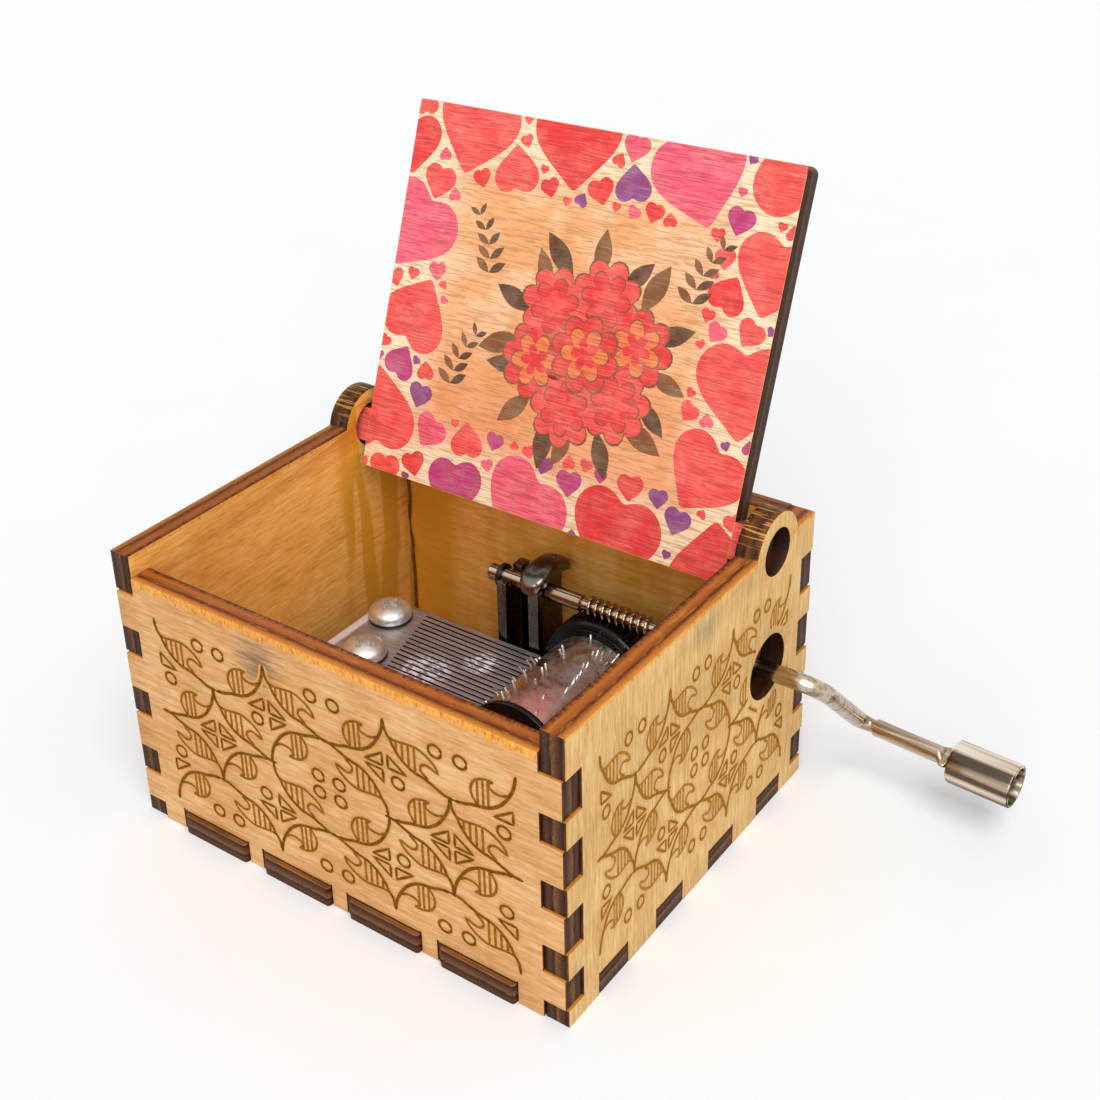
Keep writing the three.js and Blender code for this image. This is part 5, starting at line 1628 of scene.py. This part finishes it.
def dress_movement():
    nickel, bright, drum, zinc, gunmetal, dark = (metal(name) for name in METALS)
    plastic = black_plastic()
    # Rod and knob: nickel with painted reflection bands in its colour
    rod = nickel_with_painted_reflections("rod_nickel", joint_axis("crank_spin"), ROD_REFLECTION_SCALE, ROD_REFLECTION_STRENGTH)
    knob = nickel_with_painted_reflections("knob_nickel", joint_axis("knob_spin"), KNOB_REFLECTION_SCALE, KNOB_REFLECTION_STRENGTH)
    for name in ("comb_screw_rear", "comb_screw_front"):
        dress(name, bright, SCREW_EDGE, 3)
    for name in ("comb_washer_rear", "comb_washer_front", "base_screw_1", "base_screw_2", "base_screw_3"):
        dress(name, dark, FINE_EDGE)
    for name in ("shaft_bracket_right", "shaft_stay", "arbor_bearing_front", "arbor_bearing_rear"):
        dress(name, gunmetal, SMALL_EDGE)
    dress("bed_plate", zinc, PLATE_EDGE)
    dress("comb", comb_steel(), FINE_EDGE)
    dress("pinned_cylinder", drum, None)
    dress("cylinder_arbor", nickel, SMALL_EDGE)
    dress("cylinder_cap", plastic, SMALL_EDGE)
    dress("worm_wheel", plastic, FINE_EDGE)
    dress("crank_knob", knob, KNOB_EDGE, 3)
    build_crank(rod)
    build_clip(dark)
    build_bracket(gunmetal)
    build_collar(plastic)
    build_drum_skin(drum)
    build_pins(drum)


# Floor, light and camera
def build_floor():
    shader = Shader("floor")
    grain = shader.noise(shader.position, FLOOR_GRAIN_SCALE, 2)
    dark_tone, pale_tone = FLOOR_TONES
    tone = shader.ramp(grain, (0.3, dark_tone), (0.7, pale_tone))
    material = shader.finish(colour=tone, roughness=0.9, specular=0.0)
    half = FLOOR_SIZE / 2
    maker = MeshMaker()
    corners = [(x * half, y * half, -FLOOR_DROP) for x, y in ((-1, -1), (1, -1), (1, 1), (-1, 1))]
    maker.add(corners, [[0, 1, 2, 3]])
    maker.make("floor", material)


def add_sun(name, strength, spread, direction):
    """A wide soft sun whose light comes from the given direction."""
    sun = bpy.data.lights.new(name, "SUN")
    sun.energy = strength
    sun.angle = spread
    lamp = bpy.data.objects.new(name, sun)
    lamp.rotation_mode = "QUATERNION"
    lamp.rotation_quaternion = direction.to_track_quat("Z", "Y")
    bpy.context.scene.collection.objects.link(lamp)


def build_world():
    """White surroundings for the camera and in reflections, and a plain level of light otherwise."""
    world = bpy.data.worlds.new("studio")
    bpy.context.scene.world = world
    world.use_nodes = True
    tree = world.node_tree
    tree.nodes.clear()
    path = tree.nodes.new("ShaderNodeLightPath")
    seen = path.outputs["Is Camera Ray"]
    for ray in ("Is Glossy Ray", "Is Transmission Ray"):
        either = tree.nodes.new("ShaderNodeMath")
        either.operation = "MAXIMUM"
        tree.links.new(seen, either.inputs[0])
        tree.links.new(path.outputs[ray], either.inputs[1])
        seen = either.outputs[0]
    strength = tree.nodes.new("ShaderNodeMapRange")
    strength.inputs["To Min"].default_value = SKY_STRENGTH
    tree.links.new(seen, strength.inputs["Value"])
    background = tree.nodes.new("ShaderNodeBackground")
    background.inputs["Color"].default_value = (1, 1, 1, 1)
    tree.links.new(strength.outputs["Result"], background.inputs["Strength"])
    output = tree.nodes.new("ShaderNodeOutputWorld")
    tree.links.new(background.outputs["Background"], output.inputs["Surface"])


def build_camera():
    forward = Vector((-math.sin(CAMERA_YAW) * math.cos(CAMERA_PITCH),
                      math.cos(CAMERA_YAW) * math.cos(CAMERA_PITCH), -math.sin(CAMERA_PITCH)))
    level = forward.cross(UP).normalized()
    upright = level.cross(forward)
    right = level * math.cos(CAMERA_ROLL) + upright * math.sin(CAMERA_ROLL)
    up = upright * math.cos(CAMERA_ROLL) - level * math.sin(CAMERA_ROLL)
    lens = bpy.data.cameras.new("camera")
    lens.sensor_width = SENSOR_WIDTH
    lens.lens = FOCAL_PIXELS / PHOTO_PIXELS * SENSOR_WIDTH
    lens.shift_x = (PHOTO_PIXELS / 2 - CENTRE_PIXEL_X) / PHOTO_PIXELS
    lens.shift_y = (CENTRE_PIXEL_Y - PHOTO_PIXELS / 2) / PHOTO_PIXELS
    lens.clip_start = CAMERA_NEAR_LIMIT
    camera = bpy.data.objects.new("camera", lens)
    turn = Matrix((right, up, -forward)).transposed().to_4x4()
    camera.matrix_world = Matrix.Translation(CAMERA_PLACE) @ turn
    bpy.context.scene.collection.objects.link(camera)
    bpy.context.scene.camera = camera


def wall_planes():
    """Outer faces of the four walls, each with its across direction to the right as seen from outside."""
    low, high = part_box("bottom_panel")
    return {
        "front": Plane((0, low.y, 0), RIGHT, UP),
        "right": Plane((high.x, 0, 0), REAR, UP),
        "back": Plane((0, high.y, 0), -RIGHT, UP),
        "left": Plane((low.x, 0, 0), -REAR, UP),
    }


build_camera()
add_sun("key_light", SUN_STRENGTH, SUN_SPREAD, SUN_DIRECTION)
add_sun("fill_light", FILL_STRENGTH, FILL_SPREAD, FILL_DIRECTION)
build_world()
build_floor()
dress_box()
build_noses()
build_seam()
dress_lid()
dress_movement()
build_ornaments(wall_planes())
bpy.context.scene.view_settings.view_transform = "Standard"
